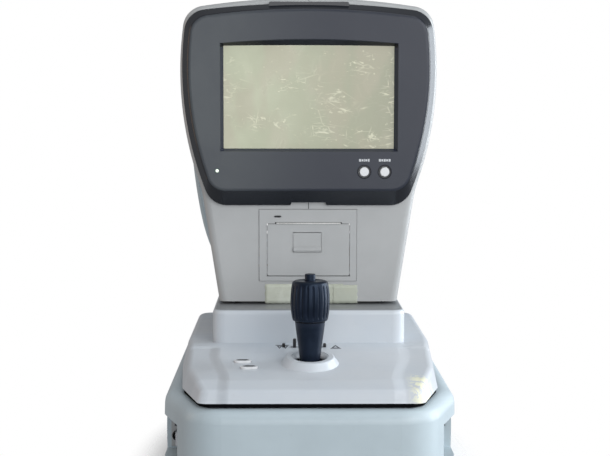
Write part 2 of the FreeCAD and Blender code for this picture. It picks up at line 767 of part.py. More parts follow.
def stage_chassis():
    """Flat plate with bush blocks below it, ears for the gimbal and the guide of the stage lock."""
    plate_z0, plate_z1 = CHASSIS_Z
    chassis = rounded_box(-76, 76, -206, 62, plate_z0, plate_z1, 8)
    chassis = chassis.cut(rod_z(24, 90, 130, STICK_X, STICK_Y))
    for side in (-1, 1):
        x = side * BUSH_X
        chassis = chassis.fuse(box(x - 8, x + 8, AXLE_Y - 9, AXLE_Y + 9, AXLE_Z - 10, plate_z0))
        x0, x1 = sorted((STICK_X + side * 19.5, STICK_X + side * 26))
        chassis = chassis.fuse(box(x0, x1, STICK_Y - 4, STICK_Y + 4, plate_z0, PIVOT_Z + 3))
        post_x = side * 27
        chassis = chassis.fuse(box(post_x - 2, post_x + 2, LEVER_Y - 4, LEVER_Y + 4, plate_z1 - 1, LEVER_RAIL_TOP))
    chassis = chassis.fuse(box(-29, 29, LEVER_Y - 4, LEVER_Y + 4, LEVER_RAIL_TOP - 2.6, LEVER_RAIL_TOP))
    chassis = chassis.fuse(box(-67, -39, -188, -150, plate_z1 - 0.5, KEY_PAD_TOP))
    chassis = chassis.cut(rod_x(8, -40, 40, AXLE_Y, AXLE_Z))
    return chassis.cut(rod_x(1.8 + RUNNING, -40, 40, STICK_Y, PIVOT_Z)).removeSplitter()


def lock_lever():
    """Peg on a slider; it slides from the free side of the slot to the locked side."""
    low = LEVER_RAIL_TOP + 0.4
    slider = box(LEVER_X[0] - 5, LEVER_X[1] + 5, LEVER_Y - 4, LEVER_Y + 4, low, low + 2)
    peg = rounded_box(*LEVER_X, LEVER_Y - 1.7, LEVER_Y + 1.7, low + 1, LEVER_TOP, 1.3)
    peg = rounded(peg, 0.8, lambda edge: at_height(edge, LEVER_TOP))
    return slider.fuse(peg).removeSplitter()


def chin_key(x, y):
    top = deck_z(y) + 1.3
    cap = oval(7.4, 4.6, x, y, top - 7, top)
    cap = rounded(cap, 0.8, lambda edge: at_height(edge, top))
    return cap.fuse(rod_z(2, KEY_PAD_TOP + 1.2, top - 6, x, y)).removeSplitter()


def guide_columns():
    columns = []
    for x in (-COLUMN_X, COLUMN_X):
        column = rod_z(5, CHASSIS_Z[1], 236, x, LIFT_Y)
        columns.append(column.fuse(rod_z(10, CHASSIS_Z[1], 116, x, LIFT_Y)).removeSplitter())
    return group(columns)


def lift_motor():
    motor = rounded_box(-21, 21, LIFT_Y - 21, LIFT_Y + 21, CHASSIS_Z[1], 145, 3)
    motor = motor.fuse(rod_z(11, 145, 147, 0, LIFT_Y)).removeSplitter()
    return motor.cut(rod_z(3 + RUNNING, 130, 148, 0, LIFT_Y))


def lift_screw():
    return rod_z(5, 147.5, 236, 0, LIFT_Y).fuse(rod_z(3, 131, 148, 0, LIFT_Y)).removeSplitter()


def make_stage():
    node("cross_axle", group([cross_axle()] + axle_pinions().Solids))
    node("axle_yoke", axle_yoke())
    node("stage_bushes", stage_bushes())
    node("stage_chassis", stage_chassis())
    node("stage_cover", stage_cover())
    node("lock_lever", lock_lever())
    for name, (x, y) in CHIN_KEYS.items():
        node(name, chin_key(x, y))
    node("guide_columns", guide_columns())
    node("lift_motor", lift_motor())
    node("lift_screw", lift_screw())


# ---- joystick ----
def joystick_gimbal():
    ring = tube_z(17.5, 13.5, PIVOT_Z - 3.5, PIVOT_Z + 3.5, STICK_X, STICK_Y)
    for side in (-1, 1):
        x0, x1 = sorted((STICK_X + side * 16, STICK_X + side * 24.5))
        ring = ring.fuse(rod_x(1.8, x0, x1, STICK_Y, PIVOT_Z))
    return ring.cut(rod_y(1.8 + RUNNING, STICK_Y - 30, STICK_Y + 30, STICK_X, PIVOT_Z)).removeSplitter()


def joystick_stick():
    """Steel stick: ball foot, cross pins at the gimbal, slim shank and the hub of the height ring."""
    ball_z = FRICTION_TOP + 0.4 + 6
    ball = Part.makeSphere(6, V(STICK_X, STICK_Y, ball_z))
    shank = rod_z(4, ball_z, SLEEVE_TOP_Z + 2, STICK_X, STICK_Y)
    hub = rod_z(HUB_R, SLEEVE_TOP_Z, 189, STICK_X, STICK_Y)
    knuckle = rod_z(7, PIVOT_Z - 4, PIVOT_Z + 4, STICK_X, STICK_Y)
    pins = rod_y(1.8, STICK_Y - 17, STICK_Y + 17, STICK_X, PIVOT_Z)
    stick = ball.fuse([shank, hub, knuckle, pins]).removeSplitter()
    return stick.cut(rod_z(BUTTON_R + RUNNING, 181, 190, STICK_X, STICK_Y))


def joystick_sleeve():
    """Tapered sleeve under the height ring, with the dust disc that hides the hole in the deck."""
    foot = SLEEVE_FOOT_Z
    sleeve = cone_z(SLEEVE_FOOT_R, SLEEVE_TOP_R, foot + 5, SLEEVE_TOP_Z - 0.6, STICK_X, STICK_Y)
    sleeve = sleeve.fuse(rod_z(SLEEVE_FOOT_R, foot, foot + 5, STICK_X, STICK_Y))
    sleeve = sleeve.fuse(rod_z(DUST_DISC_R, foot, foot + 1, STICK_X, STICK_Y)).removeSplitter()
    return sleeve.cut(rod_z(4, 100, 160, STICK_X, STICK_Y))


def joystick_ring():
    """Barrel-shaped grip that turns on the hub to raise and lower the head."""
    low = SLEEVE_TOP_Z + 0.3
    mid = (low + RING_TOP_Z) / 2
    edge_points = [
        V(STICK_X, STICK_Y, low),
        V(STICK_X + KNOB_END_R, STICK_Y, low),
        V(STICK_X + KNOB_END_R, STICK_Y, RING_TOP_Z),
        V(STICK_X, STICK_Y, RING_TOP_Z),
    ]
    belly = Part.Arc(edge_points[1], V(STICK_X + KNOB_WAIST_R, STICK_Y, mid), edge_points[2]).toShape()
    edges = [
        Part.makeLine(edge_points[0], edge_points[1]),
        belly,
        Part.makeLine(edge_points[2], edge_points[3]),
        Part.makeLine(edge_points[3], edge_points[0]),
    ]
    barrel = Part.Face(Part.Wire(edges)).revolve(V(STICK_X, STICK_Y, 0), Z_AXIS, 360)
    barrel = barrel.cut(rod_z(HUB_R + RUNNING, low - 1, 189.3, STICK_X, STICK_Y))
    return barrel.cut(rod_z(BUTTON_R + 0.4, 180, RING_TOP_Z + 1, STICK_X, STICK_Y))


def joystick_button():
    button = rod_z(BUTTON_R, 184, 197, STICK_X, STICK_Y)
    return rounded(button, 0.7, lambda edge: at_height(edge, 197))


def make_joystick():
    node("joystick_gimbal", joystick_gimbal())
    node("joystick_stick", joystick_stick())
    node("joystick_sleeve", joystick_sleeve())
    node("joystick_ring", joystick_ring())
    node("joystick_button", joystick_button())


# ---- head ----
def head_prism(inset, y0, y1):
    """Head seen from the front: tapered neck, bowed sides and a gently arched top, pushed back along Y."""
    def side_x(z):
        reach = SIDE_ARC_R - inset
        return HEAD_HALF_W - SIDE_ARC_R + math.sqrt(reach ** 2 - (z - SIDE_ARC_Z) ** 2)

    neck = NECK_HALF_W - inset
    corner_z = CORNER_Z - inset
    low = V(neck, y0, HEAD_BOTTOM)
    flare = V(side_x(FLARE_Z), y0, FLARE_Z)
    widest = V(side_x(SIDE_ARC_Z), y0, SIDE_ARC_Z)
    corner = V(side_x(corner_z), y0, corner_z)
    top = V(0, y0, HEAD_TOP - inset)

    def flip(point):
        return V(-point.x, point.y, point.z)

    edges = [
        Part.makeLine(flip(low), low),
        Part.makeLine(low, flare),
        Part.Arc(flare, widest, corner).toShape(),
        Part.Arc(corner, top, flip(corner)).toShape(),
        Part.Arc(flip(corner), flip(widest), flip(flare)).toShape(),
        Part.makeLine(flip(flare), flip(low)),
    ]
    solid = Part.Face(Part.Wire(edges)).extrude(V(0, y1 - y0, 0))

    def is_corner(edge):
        return runs_along(edge, Y_AXIS) and edge.CenterOfMass.z > 400

    def is_flare(edge):
        return runs_along(edge, Y_AXIS) and abs(edge.CenterOfMass.z - FLARE_Z) < 1

    return rounded(rounded(solid, 20 - inset, is_corner), 90, is_flare)


def head_profile(inset):
    """Side view of the head: flat front, sloping top, rear wall set back over the chin rest."""
    front = HEAD_FRONT_Y + inset
    rear = UPPER_REAR_Y - inset
    lower = LOWER_REAR_Y - inset
    solid = prism_x([
        (front, HEAD_BOTTOM - 1), (front, 460), (2, REAR_TOP_Z + 42 - inset), (rear, REAR_TOP_Z - inset),
        (rear, 306 + 0.6 * inset), (lower, 256 + 0.6 * inset), (lower, HEAD_BOTTOM - 1),
    ], -150, 150)
    corners = {REAR_TOP_Z - inset: 26 - inset, 306 + 0.6 * inset: 24 - inset, 256 + 0.6 * inset: 40 + inset}
    for z, radius in corners.items():
        solid = rounded(solid, radius, lambda edge: runs_along(edge, X_AXIS) and at_height(edge, z))
    return solid


def head_solid():
    solid = head_prism(0, HEAD_FRONT_Y, 120).common(head_profile(0))
    front = [edge for edge in solid.Edges
             if abs(edge.BoundBox.YMax - HEAD_FRONT_Y) < 0.01 and edge.BoundBox.ZMax > HEAD_BOTTOM + 1]
    solid = solid.makeFillet(7, front)
    rim = [edge for edge in solid.Edges
           if edge.BoundBox.YMin > -20 and abs(edge.CenterOfMass.x) > 20
           and edge.BoundBox.ZMax > HEAD_BOTTOM + 1 and edge.BoundBox.XLength < 60]
    return solid.makeFillet(9, rim)


def head_shells():
    """Left and right halves of the head, meeting at the centre seam."""
    inner = head_prism(WALL, HEAD_FRONT_Y, 120).common(head_profile(WALL))
    inner = inner.cut(box(-150, 150, -100, 120, HEAD_BOTTOM - 5, HEAD_BOTTOM + 2.5))
    shell = head_solid().cut(inner)
    wall_cut = (HEAD_FRONT_Y - 2, HEAD_FRONT_Y + WALL + 1)
    shell = shell.cut(box(-70, 70, *wall_cut, 293, 395))
    shell = shell.cut(box(36, 80, *wall_cut, 269, 287))
    shell = shell.cut(box(*PRINTER_X, *wall_cut, *PRINTER_Z))
    shell = shell.cut(rod_y(29, UPPER_REAR_Y - 10, UPPER_REAR_Y + 2, 0, OPTIC_Z))
    shell = shell.cut(box(-SKIRT_HALF_X, SKIRT_HALF_X, *SKIRT_Y, HEAD_BOTTOM - 2, HEAD_BOTTOM + 4))
    for step in range(6):
        z = 186 + 8 * step
        for side in (-1, 1):
            x0, x1 = sorted((side * 16, side * 58))
            shell = shell.cut(rounded_box(x0, x1, LOWER_REAR_Y - WALL - 2, LOWER_REAR_Y + 2, z, z + 3, 1.4, Y_AXIS))
    left = shell.common(box(-150, -SEAM / 2, -120, 120, 150, 450))
    right = shell.common(box(SEAM / 2, 150, -120, 120, 150, 450))
    return left, right


def head_skirt():
    """Dark inner sleeve that fills the gap under the head as it rises."""
    floor = HEAD_BOTTOM + 2.5
    x = SKIRT_HALF_X
    y0, y1 = SKIRT_Y
    tube = rounded_box(-x, x, y0, y1, 118, 172, 6)
    flange = rounded_box(-x - 5, x + 5, y0 - 4, y1 + 4, floor, floor + 2, 6)
    tube = tube.fuse(flange).removeSplitter()
    return tube.cut(rounded_box(-x + 2, x - 2, y0 + 2, y1 - 2, 110, 180, 4))


def head_chassis():
    """Lift plate, two cheeks and the optical bench on top of them."""
    z0, z1 = HEAD_PLATE_Z
    chassis = box(-74, 74, -15, 50, z0, z1)
    for side in (-1, 1):
        x0, x1 = sorted((side * 70, side * 73))
        chassis = chassis.fuse(box(x0, x1, -10, 46, z1 - 1, 328))
    chassis = chassis.fuse(box(-73, 73, -58, 82, 326, 331))
    saddle = box(-22, 22, 28, 76, 330, 345).cut(rod_y(19, 20, 80, 0, OPTIC_Z))
    chassis = chassis.fuse(saddle)
    for y in (-33, 62):
        chassis = chassis.fuse(box(38, 54, y, y + 3, 330, 360))
    chassis = chassis.cut(rod_z(8, z0 - 1, z1 + 1, 0, LIFT_Y))
    for x in (-COLUMN_X, COLUMN_X):
        chassis = chassis.cut(rod_z(8, z0 - 1, z1 + 1, x, LIFT_Y))
    chassis = chassis.cut(rod_y(2 + RUNNING, -40, 70, TARGET_X, TARGET_SCREW_Z))
    chassis = chassis.cut(rod_y(2, -40, 70, TARGET_X, TARGET_ROD_Z))
    return chassis.removeSplitter()


def lift_bearings():
    """Bronze bushes on the guide columns and the nut of the lift screw."""
    z0, z1 = HEAD_PLATE_Z
    parts = []
    for x, bore in ((-COLUMN_X, 5.0), (0, 5.0), (COLUMN_X, 5.0)):
        bush = rod_z(8, z0, z1 + 8, x, LIFT_Y).fuse(rod_z(11, z0 - 6, z0, x, LIFT_Y)).removeSplitter()
        parts.append(bush.cut(rod_z(bore + RUNNING, z0 - 8, z1 + 10, x, LIFT_Y)))
    return group(parts)


# ---- screen and keys ----
def shield_prism(half_w, side_r, top_z, top_r, bottom_z, corner_r, y0, y1):
    """Bezel outline: bowed sides widest at WIDE_Z, gently arched top, flat bottom, rounded corners."""
    depth = y1 - y0
    right = rod(side_r, depth, half_w - side_r, y0, WIDE_Z, Y_AXIS)
    left = rod(side_r, depth, side_r - half_w, y0, WIDE_Z, Y_AXIS)
    top = rod(top_r, depth, 0, y0, top_z - top_r, Y_AXIS)
    solid = right.common(left).common(top).common(box(-300, 300, y0, y1, bottom_z, 600))
    return rounded(solid, corner_r, lambda edge: runs_along(edge, Y_AXIS))


def front_wire(solid, y):
    for face in solid.Faces:
        if abs(face.BoundBox.YMin - y) < 0.01 and abs(face.BoundBox.YMax - y) < 0.01:
            return face.OuterWire
    raise ValueError("no flat face at y = %s" % y)


def window_wire(half_w, low_z, corner_z, crown_z, y):
    low_left = V(-half_w, y, low_z)
    low_right = V(half_w, y, low_z)
    high_right = V(half_w, y, corner_z)
    high_left = V(-half_w, y, corner_z)
    return Part.Wire([
        Part.makeLine(low_left, low_right),
        Part.makeLine(low_right, high_right),
        Part.Arc(high_right, V(0, y, crown_z), high_left).toShape(),
        Part.makeLine(high_left, low_left),
    ])


def screen_bezel():
    rim = shield_prism(*RIM_SHAPE, BEZEL_RIM_Y, HEAD_FRONT_Y)
    rim_wire = front_wire(rim, BEZEL_RIM_Y)
    face_wire = front_wire(shield_prism(*FACE_SHAPE, BEZEL_FACE_Y, BEZEL_RIM_Y), BEZEL_FACE_Y)
    slope = Part.makeLoft([face_wire, rim_wire], True, True)
    slope = rounded(slope, BEZEL_EDGE_R, lambda edge: edge.BoundBox.YMax < BEZEL_FACE_Y + 0.01)
    tab = rounded_box(-35, 35, -83, HEAD_FRONT_Y, 410, 425.8, 1.5, Y_AXIS)
    bezel = rim.fuse([slope, tab])
    notch = prism_y([(-19, 240), (-15, 250.4), (15, 250.4), (19, 240)], -100, HEAD_FRONT_Y + 1)
    bezel = bezel.cut(notch)
    z0, z1 = SCREEN_Z
    window = Part.makeLoft([
        window_wire(SCREEN_HALF_W + 3.6, z0 - 2.8, z1 + 2.4, z1 + 6.4, BEZEL_FACE_Y - 0.5),
        window_wire(SCREEN_HALF_W, z0, z1, z1 + 0.6, SCREEN_Y + 0.01),
    ], True, True)
    bezel = bezel.cut(window)
    bezel = bezel.cut(box(-82.4, 82.4, SCREEN_Y, HEAD_FRONT_Y + 1, 292.1, 395.9))
    bezel = bezel.cut(box(36, 80, SCREEN_Y, HEAD_FRONT_Y + 1, 269, 287))
    for x in KEY_X:
        bezel = bezel.cut(rod_y(5.7, BEZEL_FACE_Y - 1, BEZEL_FACE_Y + 1, x, KEY_Z))
        bezel = bezel.cut(rod_y(4.35, BEZEL_FACE_Y - 1, SCREEN_Y + 1, x, KEY_Z))
    return bezel.cut(rod_y(1.75, BEZEL_FACE_Y - 1, HEAD_FRONT_Y + 1, LAMP_X, LAMP_Z))


def panel_key(x):
    """Round key with a flange behind the bezel."""
    key = rod_y(4.05, BEZEL_FACE_Y - 1.4, -82, x, KEY_Z)
    key = rounded(key, 0.6, lambda edge: edge.BoundBox.YMax < BEZEL_FACE_Y - 1.3 and edge.BoundBox.XLength > 1)
    return key.fuse(rod_y(5.2, SCREEN_Y + 0.3, SCREEN_Y + 1.3, x, KEY_Z)).removeSplitter()


def display_panel():
    z0, z1 = SCREEN_Z
    return box(-82, 82, SCREEN_Y + 0.02, -80, z0 - 5.5, z1 + 6)


def head_boards():
    """Display board, key board with its two switches, and the status lamp."""
    display = box(-66, 66, -79.4, -77.6, 297, 391)
    for x, z in ((-40, 320), (-5, 330), (30, 320), (10, 365)):
        display = display.fuse(box(x, x + 18, -77.6, -74.8, z, z + 14))
    keys = box(38, 78, -78.8, -77.2, 270, 286)
    for x in KEY_X:
        keys = keys.fuse(box(x - 3, x + 3, -80.4, -78.8, KEY_Z - 3, KEY_Z + 3))
    lamp = rod_y(1.75, BEZEL_FACE_Y - 0.4, -80, LAMP_X, LAMP_Z)
    return group([display.removeSplitter(), keys.removeSplitter(), lamp])


# ---- printer ----
def printer_frame():
    """Panel around the lid, with a raised inner edge and the slot for the paper above the lid."""
    x0, x1 = PRINTER_X
    z0, z1 = PRINTER_Z
    frame = box(x0 + 0.3, x1 - 0.3, -77.9, HEAD_FRONT_Y + WALL, z0 + 0.3, z1 - 0.3)
    frame = frame.cut(box(-LID_HALF_W - 0.4, LID_HALF_W + 0.4, -79, -70, LID_Z[0] - 0.7, LID_Z[1] + 0.4))
    frame = frame.cut(box(-29.7, 29.7, -79, -70, 230, 232.4))
    frame = frame.cut(rod_x(0.9 + RUNNING, -38.6, 38.6, LID_HINGE_Y, LID_HINGE_Z))
    return frame.cut(rounded_box(-30.6, -24.0, -79, -76.5, 236.6, 238.4, 0.85, Y_AXIS))


def printer_mechanism():
    """Drop-in bucket for the paper roll and the thermal head over the platen roller."""
    inside = BUCKET_HALF_W - 2.8
    bucket = box(-BUCKET_HALF_W, BUCKET_HALF_W, -73.5, -16, 187, 239.5)
    cradle = box(-inside, inside, -90, -18.4, 211, 236.5).fuse(rod_x(23.6, -inside, inside, ROLL_Y, ROLL_Z))
    throat = box(-inside, inside, -90, ROLL_Y, 190, 236.5)
    bucket = bucket.cut(cradle.fuse(throat))
    thermal_head = box(-30, 30, -73, -60.5, 231.75, 236.3)
    return group([bucket, thermal_head])


def printer_lid():
    lid = box(-LID_HALF_W, LID_HALF_W, LID_FRONT_Y, LID_BACK_Y, *LID_Z)
    lid = rounded_along(lid, 1.5, Y_AXIS)
    for side in (-1, 1):
        x0, x1 = sorted((side * 30, side * 32))
        lid = lid.fuse(box(x0, x1, LID_BACK_Y - 0.5, PLATEN_Y + 2.2, 223, 229.6))
    lid = lid.fuse(rod_x(0.9, -38.3, 38.3, LID_HINGE_Y, LID_HINGE_Z)).removeSplitter()
    lid = lid.cut(box(LATCH_X[0] - 0.3, LATCH_X[1] + 0.3, -80, -70, LATCH_Z[0] - 0.4, LATCH_Z[1] + 0.5))
    lid = lid.cut(rod_x(0.6 + RUNNING, LATCH_X[0] - 1.6, LATCH_X[1] + 1.6, LATCH_PIVOT_Y, LATCH_PIVOT_Z))
    return lid.cut(rod_x(1.2 + RUNNING, -33, 33, PLATEN_Y, PLATEN_Z))


def printer_latch():
    """Finger pad, hinged at its top edge, with a lip along its lower edge."""
    pad = box(*LATCH_X, LID_FRONT_Y - 0.2, LID_BACK_Y - 0.4, *LATCH_Z)
    lip = prism_x([
        (LID_FRONT_Y - 0.2, LATCH_Z[0] + 3.6), (LID_FRONT_Y - 1.4, LATCH_Z[0] + 0.8),
        (LID_FRONT_Y - 1.4, LATCH_Z[0]), (LID_FRONT_Y - 0.2, LATCH_Z[0]),
    ], LATCH_X[0] + 1, LATCH_X[1] - 1)
    pegs = rod_x(0.6, LATCH_X[0] - 1.3, LATCH_X[1] + 1.3, LATCH_PIVOT_Y, LATCH_PIVOT_Z)
    return pad.fuse([lip, pegs]).removeSplitter()


def platen_roller():
    rubber = rod_x(PLATEN_R, -28.8, 28.8, PLATEN_Y, PLATEN_Z)
    return rubber.fuse(rod_x(1.2, -32, 32, PLATEN_Y, PLATEN_Z)).removeSplitter()


def paper_roll():
    roll = rod_x(ROLL_R, -PAPER_HALF_W, PAPER_HALF_W, ROLL_Y, ROLL_Z)
    return roll.cut(rod_x(6, -40, 40, ROLL_Y, ROLL_Z))


# ---- optics ----
def optics_module():
    """Objective barrel, camera behind it, and the motor of the target drive."""
    barrel = rod_y(19, 18, 86, 0, OPTIC_Z).cut(rod_y(15.5, 60, 87, 0, OPTIC_Z))
    barrel = barrel.cut(rod_y(11, 17, 61, 0, OPTIC_Z))
    camera = box(-17, 17, -30, 18, OPTIC_Z - 16, OPTIC_Z + 16)
    motor = rounded_box(TARGET_X - 9, TARGET_X + 9, -54, -33, TARGET_SCREW_Z - 8.8, TARGET_SCREW_Z + 9, 2, Y_AXIS)
    motor = motor.cut(rod_y(2 + RUNNING, -45, -30, TARGET_X, TARGET_SCREW_Z))
    guide = rod_y(2, -33, 65, TARGET_X, TARGET_ROD_Z)
    return group([barrel.fuse(camera).removeSplitter(), motor, guide])


def target_screw():
    return rod_y(2, -44, 64.5, TARGET_X, TARGET_SCREW_Z)


def target_carriage():
    """Block with the fixation picture and its lens, guided by the rod above the screw."""
    block = box(TARGET_X - 7, TARGET_X + 7, 6, 24, TARGET_SCREW_Z - 6, TARGET_ROD_Z + 5)
    block = block.fuse(box(TARGET_X - 20, TARGET_X - 7, 12, 18, OPTIC_Z - 6, OPTIC_Z + 1)).removeSplitter()
    block = block.cut(rod_y(2 + RUNNING, 0, 30, TARGET_X, TARGET_SCREW_Z))
    return block.cut(rod_y(2 + RUNNING, 0, 30, TARGET_X, TARGET_ROD_Z))


def optics_glass():
    """Objective lens in its barrel and the flat window at the tip of the nose cone."""
    lens = rod_y(15.5, 76, 80, 0, OPTIC_Z)
    dome = Part.makeSphere(60, V(0, 22.5, OPTIC_Z)).common(rod_y(15.4, 80, 90, 0, OPTIC_Z))
    window = rod_y(16, 108, 110, 0, OPTIC_Z)
    return group([lens.fuse(dome).removeSplitter(), window])


def nose_cone():
    """Cone that faces the patient's eye, with the ring of mire lamps around the window."""
    tip = UPPER_REAR_Y + 24
    outer = Part.makeCone(32, 24, 24, V(0, UPPER_REAR_Y, OPTIC_Z), Y_AXIS)
    inner = Part.makeCone(29, 21, 24, V(0, UPPER_REAR_Y, OPTIC_Z), Y_AXIS)
    cone = outer.cut(inner)
    ring = rod_y(21.6, tip - 5, tip - 1, 0, OPTIC_Z).cut(rod_y(16, tip - 6, tip, 0, OPTIC_Z))
    solids = [cone.fuse(ring).removeSplitter()]
    for index in range(12):
        angle = index * math.pi / 6
        x = 18.6 * math.cos(angle)
        z = OPTIC_Z + 18.6 * math.sin(angle)
        solids.append(rod_y(1, tip - 1, tip - 0.4, x, z))
    return group(solids)


def make_head():
    left, right = head_shells()
    node("head_shell_left", left)
    node("head_shell_right", right)
    node("head_skirt", head_skirt())
    node("head_chassis", head_chassis())
    node("lift_bearings", lift_bearings())
    node("screen_bezel", screen_bezel())
    node("display_panel", display_panel())
    node("head_boards", head_boards())
    for name, x in zip(("print_button", "reset_button"), KEY_X):
        node(name, panel_key(x))
    node("printer_frame", printer_frame())
    node("printer_mechanism", printer_mechanism())
    node("printer_lid", printer_lid())
    node("printer_latch", printer_latch())
    node("platen_roller", platen_roller())
    node("paper_roll", paper_roll())
    node("optics_module", optics_module())
    node("optics_glass", optics_glass())
    node("nose_cone", nose_cone())
    node("target_screw", target_screw())
    node("target_carriage", target_carriage())


def main():
    make_base()
    make_face_rest()
    make_stage()
    make_joystick()
    make_head()
    os.makedirs("parts", exist_ok=True)
    for name, shape in NODES.items():
        shape.exportStep("parts/" + name + ".step")


main()
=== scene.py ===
import json
import math
import random

import bmesh
import bpy
from mathutils import Matrix, Vector


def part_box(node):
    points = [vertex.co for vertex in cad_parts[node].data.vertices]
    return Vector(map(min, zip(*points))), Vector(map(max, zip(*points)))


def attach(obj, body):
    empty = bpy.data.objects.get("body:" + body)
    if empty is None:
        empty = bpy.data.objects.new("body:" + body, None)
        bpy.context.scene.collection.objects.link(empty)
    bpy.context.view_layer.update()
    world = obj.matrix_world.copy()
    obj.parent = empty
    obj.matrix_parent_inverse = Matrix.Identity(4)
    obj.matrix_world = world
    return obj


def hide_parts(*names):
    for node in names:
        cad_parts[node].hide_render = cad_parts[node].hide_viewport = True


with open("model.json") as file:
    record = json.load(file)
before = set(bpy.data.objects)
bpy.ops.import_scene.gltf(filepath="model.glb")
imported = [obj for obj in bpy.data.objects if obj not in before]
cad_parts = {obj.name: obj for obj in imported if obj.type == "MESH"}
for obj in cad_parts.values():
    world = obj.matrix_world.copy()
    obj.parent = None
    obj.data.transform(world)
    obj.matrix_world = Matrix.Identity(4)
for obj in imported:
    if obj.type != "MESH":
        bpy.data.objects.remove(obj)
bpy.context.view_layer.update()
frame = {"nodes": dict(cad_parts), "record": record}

MM = 0.001
PRINT_THICK = 0.06          # how far printed marks stand proud, in mm


# ---- mesh helpers: every size is given in millimetres ----
def add_mesh(name, verts, faces, smooth=True):
    """New mesh object from points in millimetres."""
    mesh = bpy.data.meshes.new(name)
    mesh.from_pydata([Vector(v) * MM for v in verts], [], faces)
    mesh.validate()
    piece = bpy.data.objects.new(name, mesh)
    bpy.context.scene.collection.objects.link(piece)
    for face in mesh.polygons:
        face.use_smooth = smooth
    return piece


def fix_normals(piece):
    work = bmesh.new()
    work.from_mesh(piece.data)
    bmesh.ops.recalc_face_normals(work, faces=work.faces)
    work.to_mesh(piece.data)
    work.free()


def bevel(piece, width, segments=2, angle=40.0):
    modifier = piece.modifiers.new("edges", "BEVEL")
    modifier.width = width * MM
    modifier.segments = segments
    modifier.limit_method = "ANGLE"
    modifier.angle_limit = math.radians(angle)
    modifier.harden_normals = False
    return piece


def lathe(name, profile, centre, steps=96, radius_at=None, axis="Z", ring=False):
    """Turned piece: profile is (radius, height) pairs, radius_at(angle, radius, height) may flute it.
    A ring closes its profile on itself and stays open in the middle."""
    verts = []
    faces = []
    count = len(profile)
    for step in range(steps):
        angle = 2 * math.pi * step / steps
        for radius, height in profile:
            reach = radius_at(angle, radius, height) if radius_at else radius
            a, b = reach * math.cos(angle), reach * math.sin(angle)
            offset = {"Z": (a, b, height), "Y": (a, height, b), "X": (height, a, b)}[axis]
            verts.append(Vector(centre) + Vector(offset))
    for step in range(steps):
        here = step * count
        there = ((step + 1) % steps) * count
        for i in range(count if ring else count - 1):
            after = (i + 1) % count
            faces.append((here + i, there + i, there + after, here + after))
    if not ring:
        faces.append([step * count for step in range(steps)][::-1])
        faces.append([step * count + count - 1 for step in range(steps)])
    piece = add_mesh(name, verts, faces)
    fix_normals(piece)
    return piece


def slab(name, outline, z_of, thickness):
    """Thin print or plate that follows a surface: outline of (x, y), lower face at z_of(x, y)."""
    count = len(outline)
    low = [(x, y, z_of(x, y)) for x, y in outline]
    high = [(x, y, z + thickness) for x, y, z in low]
    faces = [list(range(count))[::-1], list(range(count, 2 * count))]
    faces += [(i, (i + 1) % count, count + (i + 1) % count, count + i) for i in range(count)]
    return add_mesh(name, low + high, faces, smooth=False)


def upright_slab(name, outline, y_face, thickness):
    """The same on a wall that faces the operator: outline of (x, z), standing proud towards -Y."""
    count = len(outline)
    back = [(x, y_face, z) for x, z in outline]
    front = [(x, y_face - thickness, z) for x, z in outline]
    faces = [list(range(count)), list(range(count, 2 * count))[::-1]]
    faces += [(i, count + i, count + (i + 1) % count, (i + 1) % count) for i in range(count)]
    piece = add_mesh(name, back + front, faces, smooth=False)
    fix_normals(piece)
    return piece


def rectangle(a0, a1, b0, b1):
    """Corners of an upright rectangle, anticlockwise from its lower left."""
    return [(a0, b0), (a1, b0), (a1, b1), (a0, b1)]


def ellipse(x, y, half_x, half_y, steps=28):
    turns = [2 * math.pi * i / steps for i in range(steps)]
    return [(x + half_x * math.cos(turn), y + half_y * math.sin(turn)) for turn in turns]


def join(name, pieces):
    """One object out of several meshes."""
    work = bmesh.new()
    for piece in pieces:
        work.from_mesh(piece.data)
    mesh = bpy.data.meshes.new(name)
    work.to_mesh(mesh)
    work.free()
    for piece in pieces:
        bpy.data.objects.remove(piece)
    whole = bpy.data.objects.new(name, mesh)
    bpy.context.scene.collection.objects.link(whole)
    return whole


